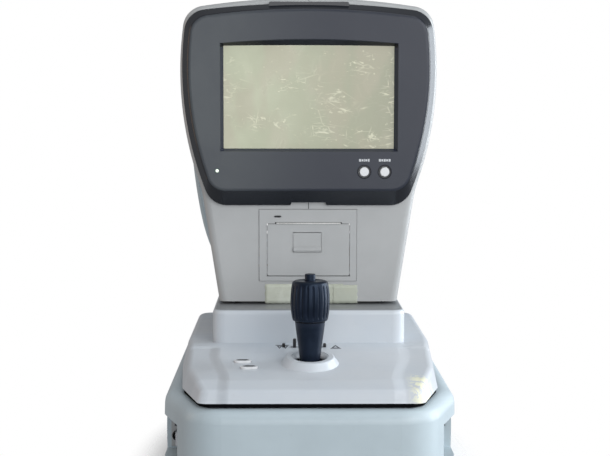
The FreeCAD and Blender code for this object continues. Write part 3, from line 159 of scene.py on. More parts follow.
# ---- materials ----
class Surface:
    """A Principled material built up from procedural textures in row coordinates, in metres."""

    def __init__(self, name, color, roughness=0.5, **sockets):
        self.material = bpy.data.materials.new(name)
        self.material.use_nodes = True
        self.nodes = self.material.node_tree.nodes
        self.links = self.material.node_tree.links
        self.shader = self.nodes["Principled BSDF"]
        self.shader.inputs["Base Color"].default_value = (*color, 1)
        self.shader.inputs["Roughness"].default_value = roughness
        for socket, value in sockets.items():
            self.shader.inputs[socket.replace("_", " ")].default_value = value
        self.coordinates = self.nodes.new("ShaderNodeTexCoord").outputs["Object"]

    def put(self, node, socket, value):
        if isinstance(value, bpy.types.NodeSocket):
            self.links.new(value, node.inputs[socket])
        else:
            node.inputs[socket].default_value = value

    def stretched(self, scale, turn=(0, 0, 0)):
        node = self.nodes.new("ShaderNodeMapping")
        self.put(node, "Vector", self.coordinates)
        node.inputs["Scale"].default_value = scale
        node.inputs["Rotation"].default_value = [math.radians(a) for a in turn]
        return node.outputs[0]

    def noise(self, scale, detail=3.0, roughness=0.5, vector=None, distortion=0.0):
        node = self.nodes.new("ShaderNodeTexNoise")
        self.put(node, "Vector", vector or self.coordinates)
        node.inputs["Scale"].default_value = scale
        node.inputs["Detail"].default_value = detail
        node.inputs["Roughness"].default_value = roughness
        node.inputs["Distortion"].default_value = distortion
        return node.outputs["Fac"]

    def cells(self, scale, feature="F1", vector=None, randomness=1.0):
        node = self.nodes.new("ShaderNodeTexVoronoi")
        node.feature = feature
        self.put(node, "Vector", vector or self.coordinates)
        node.inputs["Scale"].default_value = scale
        node.inputs["Randomness"].default_value = randomness
        return node.outputs["Distance"]

    def ramp(self, value, low, high, from_value=0.0, to_value=1.0):
        node = self.nodes.new("ShaderNodeMapRange")
        node.interpolation_type = "SMOOTHSTEP"
        self.put(node, "Value", value)
        node.inputs["From Min"].default_value = low
        node.inputs["From Max"].default_value = high
        node.inputs["To Min"].default_value = from_value
        node.inputs["To Max"].default_value = to_value
        return node.outputs["Result"]

    def maths(self, operation, a, b=0.0):
        node = self.nodes.new("ShaderNodeMath")
        node.operation = operation
        self.put(node, 0, a)
        self.put(node, 1, b)
        return node.outputs[0]

    def axis(self, index):
        node = self.nodes.new("ShaderNodeSeparateXYZ")
        self.put(node, 0, self.coordinates)
        return node.outputs[index]

    def mix(self, factor, a, b):
        node = self.nodes.new("ShaderNodeMix")
        node.data_type = "RGBA"
        self.put(node, "Factor", factor)
        for socket, value in (("A", a), ("B", b)):
            index = 6 if socket == "A" else 7
            if isinstance(value, bpy.types.NodeSocket):
                self.links.new(value, node.inputs[index])
            else:
                node.inputs[index].default_value = (*value, 1)
        return node.outputs[2]

    def edges(self, low=0.52, high=0.62):
        """1 on sharp outer edges, 0 on flat and hollow places."""
        geometry = self.nodes.new("ShaderNodeNewGeometry")
        return self.ramp(geometry.outputs["Pointiness"], low, high)

    def set(self, socket, value):
        self.links.new(value, self.shader.inputs[socket])

    def bump(self, height, depth_mm, strength=1.0, after=None):
        node = self.nodes.new("ShaderNodeBump")
        node.inputs["Strength"].default_value = strength
        node.inputs["Distance"].default_value = depth_mm * MM
        self.put(node, "Height", height)
        if after:
            self.links.new(after, node.inputs["Normal"])
        self.set("Normal", node.outputs[0])
        return node.outputs[0]


def moulded(name, color, roughness, grain=2600.0, depth=0.012, drift=0.06, grime=0.10, **sockets):
    """Moulded plastic: fine spark-eroded grain, slow colour drift, faint handling marks."""
    surface = Surface(name, color, roughness, **sockets)
    slow = surface.noise(9.0, 4.0, 0.6)
    blotch = surface.noise(70.0, 5.0, 0.7, distortion=0.4)
    lighter = [min(1.0, c * (1 + drift)) for c in color]
    darker = [c * (1 - drift) for c in color]
    tinted = surface.mix(surface.ramp(slow, 0.3, 0.7), darker, lighter)
    marks = surface.ramp(blotch, 0.58, 0.78, 0.0, grime)
    soiled = surface.mix(marks, tinted, [c * 0.62 for c in color])
    surface.set("Base Color", soiled)
    surface.set("Roughness", surface.ramp(blotch, 0.25, 0.8, roughness - 0.05, roughness + 0.09))
    fine = surface.noise(grain, 2.0, 0.5)
    waves = surface.bump(slow, 0.05, 0.25)
    surface.bump(fine, depth, 0.6, after=waves)
    return surface.material


def bezel_plastic():
    """Slate plastic: fine grain on the face, with a painted reflection that makes it lighter at the
    left; darker and glossier on the slopes around it, with painted shade on the window's top wall and
    painted light on its side and bottom walls.
    """
    surface = Surface("bezel", (0.075, 0.083, 0.096), 0.42)
    slow = surface.noise(14.0, 4.0, 0.6, distortion=0.5)
    # Painted reflection: the face is lighter at its left and darker at its right, as if a bright light
    # to the left shone in it.
    across = surface.ramp(surface.axis(0), -0.11, 0.03)
    face = surface.mix(across, (0.080, 0.091, 0.099), (0.020, 0.025, 0.040))
    patchy_painted_reflection = surface.mix(surface.ramp(slow, 0.35, 0.7, 0.0, 0.35), face, (0.030, 0.035, 0.050))
    # The slopes round the face are darker and glossier. In the screen's window the top wall gets
    # near-black painted shade under its overhang, and the side and bottom walls get a lighter slate as
    # painted light.
    depth = surface.ramp(surface.axis(1), -0.0899, -0.0888)
    inside = surface.ramp(surface.maths("ABSOLUTE", surface.axis(0)), 0.0785, 0.0800, 1.0, 0.0)
    below = surface.ramp(surface.axis(2), 0.3855, 0.3865, 1.0, 0.0)
    above = surface.ramp(surface.axis(2), 0.2930, 0.2940)
    window = surface.maths("MULTIPLY", inside, surface.maths("MULTIPLY", below, above))
    slope_painted_shade_and_light = surface.mix(window, (0.009, 0.011, 0.016), (0.026, 0.032, 0.052))
    surface.set("Base Color", surface.mix(depth, patchy_painted_reflection, slope_painted_shade_and_light))
    surface.set("Roughness", surface.maths("SUBTRACT", 0.42, surface.maths("MULTIPLY", depth, 0.20)))
    surface.bump(surface.noise(1800.0, 2.0), 0.015, 0.5)
    return surface.material


def machined(name, color, roughness, along=(1, 1, 30), depth=0.006):
    """Bare metal with fine tool lines along one direction."""
    surface = Surface(name, color, roughness, Metallic=1.0)
    lines = surface.noise(900.0, 3.0, 0.6, vector=surface.stretched(along))
    stain = surface.noise(60.0, 4.0, 0.6)
    stained = [c * 0.8 for c in color]
    surface.set("Base Color", surface.mix(surface.ramp(stain, 0.4, 0.75), color, stained))
    surface.set("Roughness", surface.ramp(lines, 0.3, 0.7, roughness - 0.08, roughness + 0.12))
    surface.bump(lines, depth, 0.5)
    return surface.material


def circuit_board(name):
    """Solder mask with lighter tracks and bright pads."""
    surface = Surface(name, (0.02, 0.16, 0.07), 0.35)
    tracks = surface.cells(330.0, "DISTANCE_TO_EDGE", randomness=0.35)
    pads = surface.cells(420.0)
    line = surface.ramp(tracks, 0.03, 0.06, 1.0, 0.0)
    green = surface.mix(line, (0.02, 0.16, 0.07), (0.04, 0.27, 0.12))
    pad = surface.ramp(pads, 0.10, 0.14, 0.8, 0.0)
    surface.set("Base Color", surface.mix(pad, green, (0.6, 0.58, 0.5)))
    surface.bump(line, 0.04, 0.6)
    return surface.material


def soft_rubber(name, color, roughness=0.75):
    surface = Surface(name, color, roughness)
    dust = surface.noise(160.0, 5.0, 0.7)
    dusty = [c * 0.7 + 0.05 for c in color]
    surface.set("Base Color", surface.mix(surface.ramp(dust, 0.45, 0.8), color, dusty))
    surface.bump(surface.noise(1500.0, 3.0), 0.03, 0.7)
    return surface.material


FILM_WEAR = (               # middle x, middle z, half width and half height of each worn patch, in mm
    (-66, 353, 16, 24), (-10, 355, 34, 12), (20, 334, 26, 22), (71, 345, 10, 56), (-38, 321, 32, 11),
    (54, 306, 30, 14), (10, 313, 26, 12), (48, 372, 18, 12),
)


FILM_SMEARS = (             # noise scale, stretch, turn in degrees and threshold of each kind of smear
    (42.0, (1, 1, 3.4), 22.0, 0.66),
    (70.0, (1, 1, 3.0), -16.0, 0.67),
    (58.0, (2.8, 1, 1), -34.0, 0.69),
    (120.0, (1, 1, 2.0), 10.0, 0.66),
)
FILM_CREASES = (            # cell scale, stretch, turn in degrees and width of each net of creases
    (24.0, (1, 1, 3.4), 20.0, 0.030),
    (40.0, (1, 1, 2.2), -38.0, 0.040),
)


def screen_film():
    """Old protective film over the screen: yellow-green haze, rubbed smears, creases and specks."""
    surface = Surface("screen_film", (0.45, 0.47, 0.34), 0.32, Coat_Weight=0.25, Coat_Roughness=0.2)
    haze = surface.noise(22.0, 4.0, 0.55, distortion=0.8)
    side = surface.ramp(surface.axis(0), -0.076, 0.076)
    base = surface.mix(side, (0.585, 0.61, 0.43), (0.38, 0.38, 0.265))
    cloudy = surface.mix(surface.ramp(haze, 0.35, 0.7, 0.0, 0.40), base, (0.47, 0.49, 0.35))
    worn = None
    for x, z, half_x, half_z in FILM_WEAR:
        away = surface.nodes.new("ShaderNodeVectorMath")
        away.operation = "SUBTRACT"
        surface.put(away, 0, surface.coordinates)
        away.inputs[1].default_value = (x * MM, 0, z * MM)
        scaled = surface.nodes.new("ShaderNodeVectorMath")
        scaled.operation = "MULTIPLY"
        surface.put(scaled, 0, away.outputs[0])
        scaled.inputs[1].default_value = (1000.0 / half_x, 0, 1000.0 / half_z)
        reach = surface.nodes.new("ShaderNodeVectorMath")
        reach.operation = "LENGTH"
        surface.put(reach, 0, scaled.outputs[0])
        patch = surface.ramp(reach.outputs["Value"], 0.15, 1.2, 1.0, 0.0)
        worn = patch if worn is None else surface.maths("MAXIMUM", worn, patch)
    tone = surface.noise(34.0, 3.0, 0.5, surface.stretched((1.0, 1.0, 0.5)))
    cloudy = surface.mix(surface.ramp(tone, 0.42, 0.62, 0.0, 0.5), cloudy, (0.52, 0.47, 0.35))
    total = None
    for scale, stretch, turn, start in FILM_SMEARS:
        grain = surface.noise(scale, 3.0, 0.6, surface.stretched(stretch, (0, turn, 0)), distortion=0.7)
        raised = surface.maths("ADD", grain, surface.maths("MULTIPLY", worn, 0.085))
        smear = surface.ramp(raised, start, start + 0.12)
        total = smear if total is None else surface.maths("MAXIMUM", total, smear)
    for scale, stretch, turn, width in FILM_CREASES:
        line = surface.cells(scale, "DISTANCE_TO_EDGE", surface.stretched(stretch, (0, turn, 0)))
        crease = surface.ramp(line, 0.0, width, 0.55, 0.0)
        crease = surface.maths("MULTIPLY", crease, surface.ramp(worn, 0.10, 0.80, 0.12, 1.0))
        broken = surface.ramp(surface.noise(scale * 1.6, 2.0, 0.5, distortion=1.2), 0.45, 0.62)
        total = surface.maths("MAXIMUM", total, surface.maths("MULTIPLY", crease, broken))
    specks = surface.ramp(surface.cells(150.0), 0.06, 0.18, 0.7, 0.0)
    dusty = surface.ramp(surface.noise(30.0, 3.0), 0.52, 0.68)
    total = surface.maths("MAXIMUM", total, surface.maths("MULTIPLY", specks, dusty))
    marked = surface.mix(surface.maths("MULTIPLY", total, 0.62), cloudy, (0.92, 0.90, 0.68))
    surface.set("Base Color", marked)
    surface.set("Roughness", surface.ramp(haze, 0.3, 0.7, 0.26, 0.45))
    soft = surface.bump(haze, 0.3, 0.4)
    surface.bump(total, 0.12, 0.7, after=soft)
    return surface.material


def clear_glass(name, tint):
    """Coated lens glass: a faint tint, a violet painted reflection of the coating at grazing angles, a
    trace of dust.
    """
    surface = Surface(name, tint, 0.03, IOR=1.52, Transmission_Weight=0.9)
    dust = surface.ramp(surface.noise(420.0, 4.0, 0.7), 0.62, 0.8, 0.02, 0.16)
    surface.set("Roughness", dust)
    # Painted reflection: the colour turns violet towards grazing angles, as the coating's reflection
    # would.
    facing = surface.nodes.new("ShaderNodeLayerWeight")
    facing.inputs["Blend"].default_value = 0.35
    coating_painted_reflection = surface.mix(facing.outputs["Facing"], tint, (0.35, 0.25, 0.55))
    surface.set("Base Color", coating_painted_reflection)
    return surface.material


def paper():
    surface = Surface("paper", (0.82, 0.82, 0.79), 0.85)
    fibres = surface.noise(700.0, 4.0, 0.7, vector=surface.stretched((1, 1, 0.3)))
    pulp = surface.mix(surface.ramp(fibres, 0.3, 0.7), (0.76, 0.76, 0.73), (0.88, 0.88, 0.86))
    surface.set("Base Color", pulp)
    surface.bump(fibres, 0.03, 0.5)
    return surface.material


def aged_tape():
    """Cream tape: yellowed in patches, with long wrinkles and a slight sheen."""
    surface = Surface("aged_tape", (0.50, 0.52, 0.40), 0.38, Coat_Weight=0.3, Coat_Roughness=0.25)
    yellow = surface.noise(45.0, 4.0, 0.6, distortion=0.5)
    wrinkles = surface.noise(120.0, 3.0, 0.5, vector=surface.stretched((0.35, 1, 1.6)))
    side = surface.ramp(surface.axis(0), -0.01, 0.03)
    clean = surface.mix(side, (0.65, 0.68, 0.59), (0.47, 0.50, 0.42))
    colour = surface.mix(surface.ramp(yellow, 0.35, 0.65, 0.0, 0.7), clean, (0.48, 0.50, 0.40))
    surface.set("Base Color", colour)
    surface.set("Roughness", surface.ramp(wrinkles, 0.3, 0.7, 0.30, 0.48))
    surface.bump(wrinkles, 0.35, 0.7)
    return surface.material


def grip_plastic():
    """Dark blue-black plastic, polished on the raised ribs by hands; the ribs are painted lighter, a
    painted sheen.
    """
    surface = Surface("joystick", (0.008, 0.011, 0.022), 0.30, Specular_IOR_Level=0.42,
                      Specular_Tint=(0.52, 0.70, 1.0, 1.0))
    smears = surface.noise(110.0, 5.0, 0.65, distortion=0.6)
    # Painted sheen: the raised ribs get a lighter colour, as if they caught the light.
    shine = surface.edges(0.51, 0.57)
    tinted = surface.mix(surface.ramp(smears, 0.4, 0.75), (0.002, 0.004, 0.010), (0.005, 0.008, 0.018))
    polished = surface.mix(surface.maths("MULTIPLY", shine, 0.35), tinted, (0.020, 0.026, 0.042))
    surface.set("Base Color", polished)
    surface.set("Roughness", surface.ramp(smears, 0.3, 0.7, 0.28, 0.46))
    surface.bump(surface.noise(2200.0, 2.0), 0.01, 0.5)
    return surface.material


def deck_relief(surface):
    """Height of the moulded deck, in metres: a raised middle panel and a steeper front band."""
    across, along = surface.maths("ABSOLUTE", surface.axis(0)), surface.axis(1)
    beyond = surface.nodes.new("ShaderNodeMath")
    beyond.operation = "SMOOTH_MAX"
    surface.put(beyond, 0, surface.maths("SUBTRACT", -0.207, along))
    beyond.inputs[1].default_value = 0.0
    beyond.inputs[2].default_value = 0.004
    band = surface.maths("MULTIPLY", beyond.outputs[0], -0.30)
    edge = surface.ramp(along, -0.140, -0.207, 0.078, 0.067)
    fall = surface.ramp(surface.maths("SUBTRACT", across, edge), -0.003, 0.008, 0.0, -0.0024)
    ahead = surface.ramp(along, -0.119, -0.127)
    return surface.maths("ADD", band, surface.maths("MULTIPLY", fall, ahead))


def worn_deck():
    """White cover of the stage, with painted shade darkening the top of its plinth under the head,
    scuffed through to a yellow tint near its front right corner.
    """
    surface = Surface("stage_shell", (0.67, 0.69, 0.72), 0.36, Coat_Weight=0.2, Coat_Roughness=0.25)
    slow = surface.noise(8.0, 4.0, 0.6)
    blotch = surface.noise(60.0, 5.0, 0.7, distortion=0.5)
    tinted = surface.mix(surface.ramp(slow, 0.3, 0.7), (0.56, 0.61, 0.66), (0.61, 0.64, 0.67))
    # Painted shade, not dust: the top of the plinth, above 158.8 mm, is darkened for the shadow that
    # the head casts on it.
    dusty = surface.mix(surface.ramp(surface.axis(2), 0.1574, 0.1588), tinted, (0.225, 0.235, 0.242))
    soiled = surface.mix(surface.ramp(blotch, 0.58, 0.8, 0.0, 0.12), dusty, (0.40, 0.39, 0.37))
    near_x = surface.ramp(surface.axis(0), 0.074, 0.086)
    near_y = surface.ramp(surface.axis(1), -0.190, -0.204)
    scuff = surface.ramp(surface.noise(120.0, 5.0, 0.75, distortion=1.0), 0.46, 0.52)
    corner = surface.maths("MULTIPLY", surface.maths("MULTIPLY", near_x, near_y), scuff)
    surface.set("Base Color", surface.mix(corner, soiled, (0.88, 0.88, 0.66)))
    surface.set("Roughness", surface.ramp(blotch, 0.25, 0.8, 0.30, 0.46))
    relief = surface.bump(deck_relief(surface), 1000.0)
    waves = surface.bump(slow, 0.05, 0.25, after=relief)
    fine = surface.bump(surface.noise(2600.0, 2.0), 0.010, 0.5, after=waves)
    surface.bump(surface.maths("MULTIPLY", corner, -1.0), 0.10, 0.6, after=fine)
    return surface.material


def make_materials():
    satin = {"Coat_Weight": 0.2, "Coat_Roughness": 0.25}
    ink = {"Specular_IOR_Level": 0.1}
    glow = {"Emission_Color": (1.0, 1.0, 0.9, 1.0), "Emission_Strength": 0.6}
    return {
        "base_shell": moulded("base_shell", (0.485, 0.57, 0.61), 0.42, Coat_Weight=0.15,
                              Coat_Roughness=0.3),
        "stage_shell": worn_deck(),
        "head_shell": moulded("head_shell", (0.43, 0.44, 0.44), 0.36, **satin),
        "bezel": bezel_plastic(),
        "black_plastic": moulded("black_plastic", (0.012, 0.012, 0.014), 0.45, drift=0.2),
        "key": moulded("key", (0.72, 0.73, 0.74), 0.25, depth=0.004, Coat_Weight=0.4,
                       Coat_Roughness=0.1),
        "joystick": grip_plastic(),
        "rubber": soft_rubber("rubber", (0.02, 0.02, 0.022)),
        "steel": machined("steel", (0.52, 0.53, 0.55), 0.38),
        "polished": machined("polished", (0.72, 0.73, 0.75), 0.14, along=(30, 1, 1), depth=0.002),
        "aluminium": machined("aluminium", (0.68, 0.69, 0.71), 0.40),
        "bronze": machined("bronze", (0.55, 0.36, 0.16), 0.42),
        "board": circuit_board("board"),
        "screen": screen_film(),
        "lens": clear_glass("lens", (0.82, 0.88, 0.90)),
        "paper": paper(),
        "pad": soft_rubber("pad", (0.58, 0.62, 0.65), 0.55),
        "cup": moulded("cup", (0.70, 0.72, 0.73), 0.34, Coat_Weight=0.2, Coat_Roughness=0.2),
        "motor": moulded("motor", (0.02, 0.02, 0.024), 0.5, grain=900.0, depth=0.03),
        "tape": aged_tape(),
        "white_print": moulded("white_print", (0.62, 0.64, 0.66), 0.6),
        "dark_print": moulded("dark_print", (0.020, 0.022, 0.028), 0.7, **ink),
        "grey_print": moulded("grey_print", (0.085, 0.088, 0.10), 0.7, **ink),
        # Near-black finish of the band under the stage's skirt.
        "gap_black": moulded("gap_black", (0.004, 0.004, 0.005), 0.9, grain=1200.0, depth=0.05,
                        Specular_IOR_Level=0.05),
        "lit": moulded("lit", (0.9, 0.9, 0.86), 0.3, **glow),
    }


MATERIALS = make_materials()


def dress(piece, finish, body):
    """Gives a new piece its material and slot, and makes it ride on a body."""
    piece.data.materials.clear()
    piece.data.materials.append(MATERIALS[finish])
    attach(piece, body)
    return piece


def dress_frame():
    """Every CAD node that is shown takes the finish of its slot."""
    for part in frame["record"]["subparts"]:
        piece = frame["nodes"][part["node"]]
        for slot in piece.material_slots:
            slot.material = MATERIALS[part["material_slot"]]


# ---- places that the details share, in millimetres in the row frame ----
def low_high(node):
    low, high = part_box(node)
    return Vector(low) / MM, Vector(high) / MM


BEZEL_LOW, BEZEL_HIGH = low_high("screen_bezel")
SCREEN_LOW, SCREEN_HIGH = low_high("display_panel")
RING_LOW, RING_HIGH = low_high("joystick_ring")
COVER_LOW, COVER_HIGH = low_high("stage_cover")
HEAD_LOW, HEAD_HIGH = low_high("head_shell_left")
FRAME_LOW, FRAME_HIGH = low_high("frame_front_shell")
STICK = ((RING_LOW + RING_HIGH) / 2).xy


# ---- joystick ----
def joystick_ring():
    """Barrel grip with raised ribs between two plain bands."""
    end_r = 14.45
    waist_r = 16.25
    low, high = RING_LOW.z, RING_HIGH.z
    middle = (low + high) / 2
    half = (high - low) / 2
    ribs = 20
    bore = 8.05
    steps = 26
    wall = []
    for i in range(steps + 1):
        height = low + 0.9 + (high - low - 2.6) * i / steps
        bulge = 1 - ((height - middle) / half) ** 2
        wall.append((end_r + (waist_r - end_r) * bulge, height))
    crown = [(end_r - 0.1, high - 1.1), (end_r - 0.9, high - 0.35), (end_r - 2.2, high), (4.9, high)]
    foot = [(end_r - 0.9, low), (end_r - 0.15, low + 0.3)]
    inside = [(4.9, high - 2.2), (bore, high - 2.2), (bore, low)]
    profile = foot + wall + crown + inside

    def fluted(angle, radius, height):
        if radius < end_r - 0.3 or not low + 2.2 < height < high - 2.8:
            return radius
        phase = (angle * ribs / (2 * math.pi)) % 1.0
        groove = math.exp(-((phase - 0.5) / 0.13) ** 2)
        ends = min(1.0, (height - low - 2.2) / 2.0, (high - 2.8 - height) / 2.0)
        return radius - 0.95 * groove * ends

    ring = lathe("height_ring", profile, (STICK.x, STICK.y, 0), steps=ribs * 16, radius_at=fluted)
    dress(ring, "joystick", "joystick_ring")
    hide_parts("joystick_ring")


# ---- screen ----
def key_label(name, x_mid, z_mid, widths, height=2.3):
    """A row of small bars above a key, in place of its wording."""
    gap = 0.45
    x = x_mid - (sum(widths) + gap * (len(widths) - 1)) / 2
    bars = []
    for i, width in enumerate(widths):
        half = height / 2 if i % 2 == 0 else height * 0.4
        outline = rectangle(x, x + width, z_mid - half, z_mid + half)
        bars.append(upright_slab("bar", outline, BEZEL_LOW.y, PRINT_THICK))
        x += width + gap
    dress(join(name, bars), "white_print", "head")


def key_well(node):
    """Dark ring in the face round a key, where the hole for it is sunk: painted shade of that hole."""
    low, high = low_high(node)
    x, z = (low.x + high.x) / 2, (low.z + high.z) / 2
    inner = (high.x - low.x) / 2 + 0.25
    outer = inner + 0.8
    back, front = BEZEL_LOW.y, BEZEL_LOW.y - 0.05
    steps = 48
    verts = []
    for radius, y in ((inner, back), (inner, front), (outer, front), (outer, back)):
        for step in range(steps):
            angle = 2 * math.pi * step / steps
            verts.append((x + radius * math.cos(angle), y, z + radius * math.sin(angle)))
    faces = []
    for band in range(4):
        for step in range(steps):
            after = (step + 1) % steps
            lower, upper = band * steps, (band + 1) % 4 * steps
            faces.append((lower + step, lower + after, upper + after, upper + step))
    well_painted_shade = add_mesh(node.replace("button", "well_painted_shade"), verts, faces, smooth=False)
    fix_normals(well_painted_shade)
    # The dark print finish here is painted shade in the sunk hole, not print.
    dress(well_painted_shade, "dark_print", "head")


def screen_details():
    key_well("print_button")
    key_well("reset_button")
    z_label = low_high("print_button")[1].z + 4.9
    print_x = sum(v.x for v in low_high("print_button")) / 2
    reset_x = sum(v.x for v in low_high("reset_button")) / 2
    key_label("print_label", print_x, z_label, (1.8, 1.5, 0.8, 1.8, 1.5))
    key_label("reset_label", reset_x, z_label, (1.8, 1.6, 1.7, 1.6, 1.8))


# ---- printer ----
def paper_edge():
    """The torn end of the paper, standing a little out of the slot."""
    low, high = low_high("paper_roll")
    z = low_high("printer_lid")[1].z + 1.0
    y_out = low_high("printer_frame")[0].y - 2.0
    teeth = 44
    width = high.x - low.x
    rng = random.Random(4)
    verts = []
    faces = []
    for i in range(teeth * 2 + 1):
        x = low.x + width * i / (teeth * 2)
        tooth = 0.35 * (i % 2) + 0.25 * rng.random()
        droop = 1.1 + 0.15 * math.sin(x * 0.07 + 0.6)
        free_end = (0.5 + 0.3 * tooth, 0.3 - droop + tooth * 0.5)
        for dy, dz in (free_end, (0.8, 0.2 - droop * 0.5), (1.8, 0.2), (5.0, 0.0)):
            verts.append((x, y_out + dy, z + dz))
    for i in range(teeth * 2):
        for j in range(3):
            a = i * 4 + j
            faces.append((a, a + 4, a + 5, a + 1))
    sheet = add_mesh("paper_edge", verts, faces)
    solid = sheet.modifiers.new("thick", "SOLIDIFY")
    solid.thickness = 0.12 * MM
    solid.offset = 0
    dress(sheet, "paper", "head")


def latch_lip():
    """Finger ledge along the foot of the latch: its upper side faces up and catches the light."""
    low, high = low_high("printer_latch")
    front = low.y
    foot = low.z + 0.8
    section = [(front, foot + 3.6), (front - 1.3, foot + 0.9), (front - 1.3, foot + 0.3), (front, foot)]
    ends = (low.x + 1.4, high.x - 1.4)
    verts = [(x, y, z) for x in ends for y, z in section]
    faces = [(0, 1, 2, 3), (7, 6, 5, 4)] + [(i, 4 + i, 4 + (i + 1) % 4, (i + 1) % 4) for i in range(4)]
    lip = add_mesh("latch_lip", verts, faces, smooth=False)
    fix_normals(lip)
    bevel(lip, 0.25)
    dress(lip, "head_shell", "printer_latch")


TAPES = (                   # name, left, right, foot, top and lift off the wall below it, in mm
    ("a", -38.6, 31.0, 159.6, 177.2, 0.0),
    ("b", 22.0, 43.8, 159.8, 176.2, 0.12),
)


def tape_strip():
    """Two overlapping lengths of tape under the printer, with uneven cut ends."""
    wall_y = HEAD_LOW.y
    rng = random.Random(7)
    strips = []
    for name, x0, x1, z0, z1, lift in TAPES:
        columns = 30
        rows = 6
        verts = []
        faces = []
        for i in range(columns + 1):
            share = i / columns
            x = x0 + (x1 - x0) * share
            ragged = rng.uniform(-0.25, 0.25)
            for j in range(rows + 1):
                z = z0 + (z1 - z0) * j / rows + (ragged if j in (0, rows) else 0)
                ripple = 0.10 * math.sin(x * 0.55 + j * 0.8) ** 2
                torn = 0.5 * math.sin(z) if i in (0, columns) else 0
                verts.append((x + torn, wall_y - 0.08 - lift - ripple, z))
        for i in range(columns):
            for j in range(rows):
                a = i * (rows + 1) + j
                faces.append((a, a + rows + 1, a + rows + 2, a + 1))
        strip = add_mesh("tape_" + name, verts, faces)
        strips.append(strip)
    tape = join("tape_strip", strips)
    solid = tape.modifiers.new("thick", "SOLIDIFY")
    solid.thickness = 0.06 * MM
    dress(tape, "tape", "head")


def printer_lamp():
    """Dark oval window of the printer's lamp."""
    face = low_high("printer_frame")[0].y
    x, z = -27.3, 237.5
    window = upright_slab("printer_lamp", ellipse(x, z, 3.2, 0.85), face + 0.6, 0.5)
    bevel(window, 0.2)
    dress(window, "black_plastic", "head")


# ---- stage deck ----
DECK_FLAT_Z = 129.5
DECK_BREAK_Y = -112.0
DECK_SLOPE = 0.132


def deck_z(x, y):
    return DECK_FLAT_Z - max(0.0, DECK_BREAK_Y - y) * DECK_SLOPE


def deck_print(name, outlines, finish):
    prints = [slab("print", outline, deck_z, PRINT_THICK) for outline in outlines]
    return dress(join(name, prints), finish, "stage")


def on_deck(point):
    """A point given in the crater's own frame (x, y, height above the deck) in row millimetres."""
    middle_y = (RING_LOW.y + RING_HIGH.y) / 2
    lean = math.atan(DECK_SLOPE)
    x, y, z = point
    return (STICK.x + x, middle_y + y * math.cos(lean) - z * math.sin(lean),
            deck_z(0, middle_y) + y * math.sin(lean) + z * math.cos(lean))


def crater_funnel():
    """White liner that narrows from the crater's rim to a round hole around the sleeve."""
    steps = 72
    profile = [(15.35, 5.5), (14.9, 5.8), (12.9, 1.6), (12.9, 0.6), (15.35, 0.6)]
    verts = []
    faces = []
    for step in range(steps):
        angle = 2 * math.pi * step / steps
        verts += [on_deck((r * math.cos(angle), r * math.sin(angle), h)) for r, h in profile]
    count = len(profile)
    for step in range(steps):
        here, there = step * count, ((step + 1) % steps) * count
        for i in range(count):
            k = (i + 1) % count
            faces.append((here + i, there + i, there + k, here + k))
    liner = add_mesh("crater_liner", verts, faces)
    fix_normals(liner)
    dress(liner, "stage_shell", "stage")


def slot_stops():
    """Small rubber bumper at each end of the lock lever's slot."""
    low, high = low_high("lock_lever")
    y = (low.y + high.y) / 2
    for name, x in (("slot_stop_left", low_high("lock_lever")[0].x - 3.0), ("slot_stop_right", 13.4)):
        foot = deck_z(x, y) - 0.2
        profile = [(1.35, foot), (1.35, foot + 2.6), (1.1, foot + 3.2), (0.5, foot + 3.5)]
        stop = lathe(name, profile, (x, y, 0), steps=24)
        dress(stop, "rubber", "stage")


def outlined(points, stroke):
    """Closed outline drawn as bars: one quadrilateral along each side of a polygon."""
    middle_x = sum(p[0] for p in points) / len(points)
    middle_y = sum(p[1] for p in points) / len(points)
    inner = [(middle_x + (x - middle_x) * stroke, middle_y + (y - middle_y) * stroke)
             for x, y in points]
    after = [(i + 1) % len(points) for i in range(len(points))]
    return [[points[i], points[k], inner[k], inner[i]] for i, k in enumerate(after)]


def lock_icons():
    """Open triangles beside the slot: two at the free end and a larger one at the locked end."""
    low, high = low_high("lock_lever")
    y = (low.y + high.y) / 2
    free = []
    for x in (-25.4, -20.4):
        free += outlined([(x, y - 5.0), (x + 2.5, y + 3.2), (x - 2.5, y + 3.2)], 0.45)
    free.append(rectangle(-29.0, -17.4, y + 4.0, y + 5.2))
    deck_print("free_icon", free, "grey_print")
    x = 22.8
    locked = outlined([(x - 4.0, y - 3.4), (x + 4.0, y - 3.4), (x, y + 5.0)], 0.5)
    locked.append(rectangle(x - 4.6, x + 4.6, y - 5.4, y - 4.3))
    deck_print("locked_icon", locked, "grey_print")


def chin_marks():
    """Dark lozenge on each chin-rest button."""
    for node in ("chin_up_button", "chin_down_button"):
        low, high = low_high(node)
        x, y = (low.x + high.x) / 2, (low.y + high.y) / 2
        shape = [(-5.6, 0.5), (-3.0, 2.9), (3.4, 2.9), (5.6, 0.5), (3.0, -1.9), (-3.4, -1.9)]
        outline = [(x + dx, y + dy) for dx, dy in shape[::-1]]
        mark = slab(node.replace("button", "mark"), outline, lambda px, py: high.z, 0.05)
        dress(mark, "dark_print", node)


def shell_seam():
    """Dark joint line where the two head shells meet, from the printer up to the bezel."""
    half_width = 0.28
    foot, top = low_high("printer_frame")[1].z + 0.6, 250.3
    outline = rectangle(-half_width, half_width, foot, top)
    line = upright_slab("shell_seam", outline, HEAD_LOW.y + 0.1, 0.16)
    dress(line, "dark_print", "head")


def status_light():
    """Small white light at the lower left of the bezel."""
    profile = [(1.68, -87.0), (1.68, -90.0), (1.3, -90.5), (0.5, -90.75)]
    x, z = -80.2, 278.6
    light = lathe("status_light", profile, (x, 0, z), steps=32, axis="Y")
    dress(light, "lit", "head")


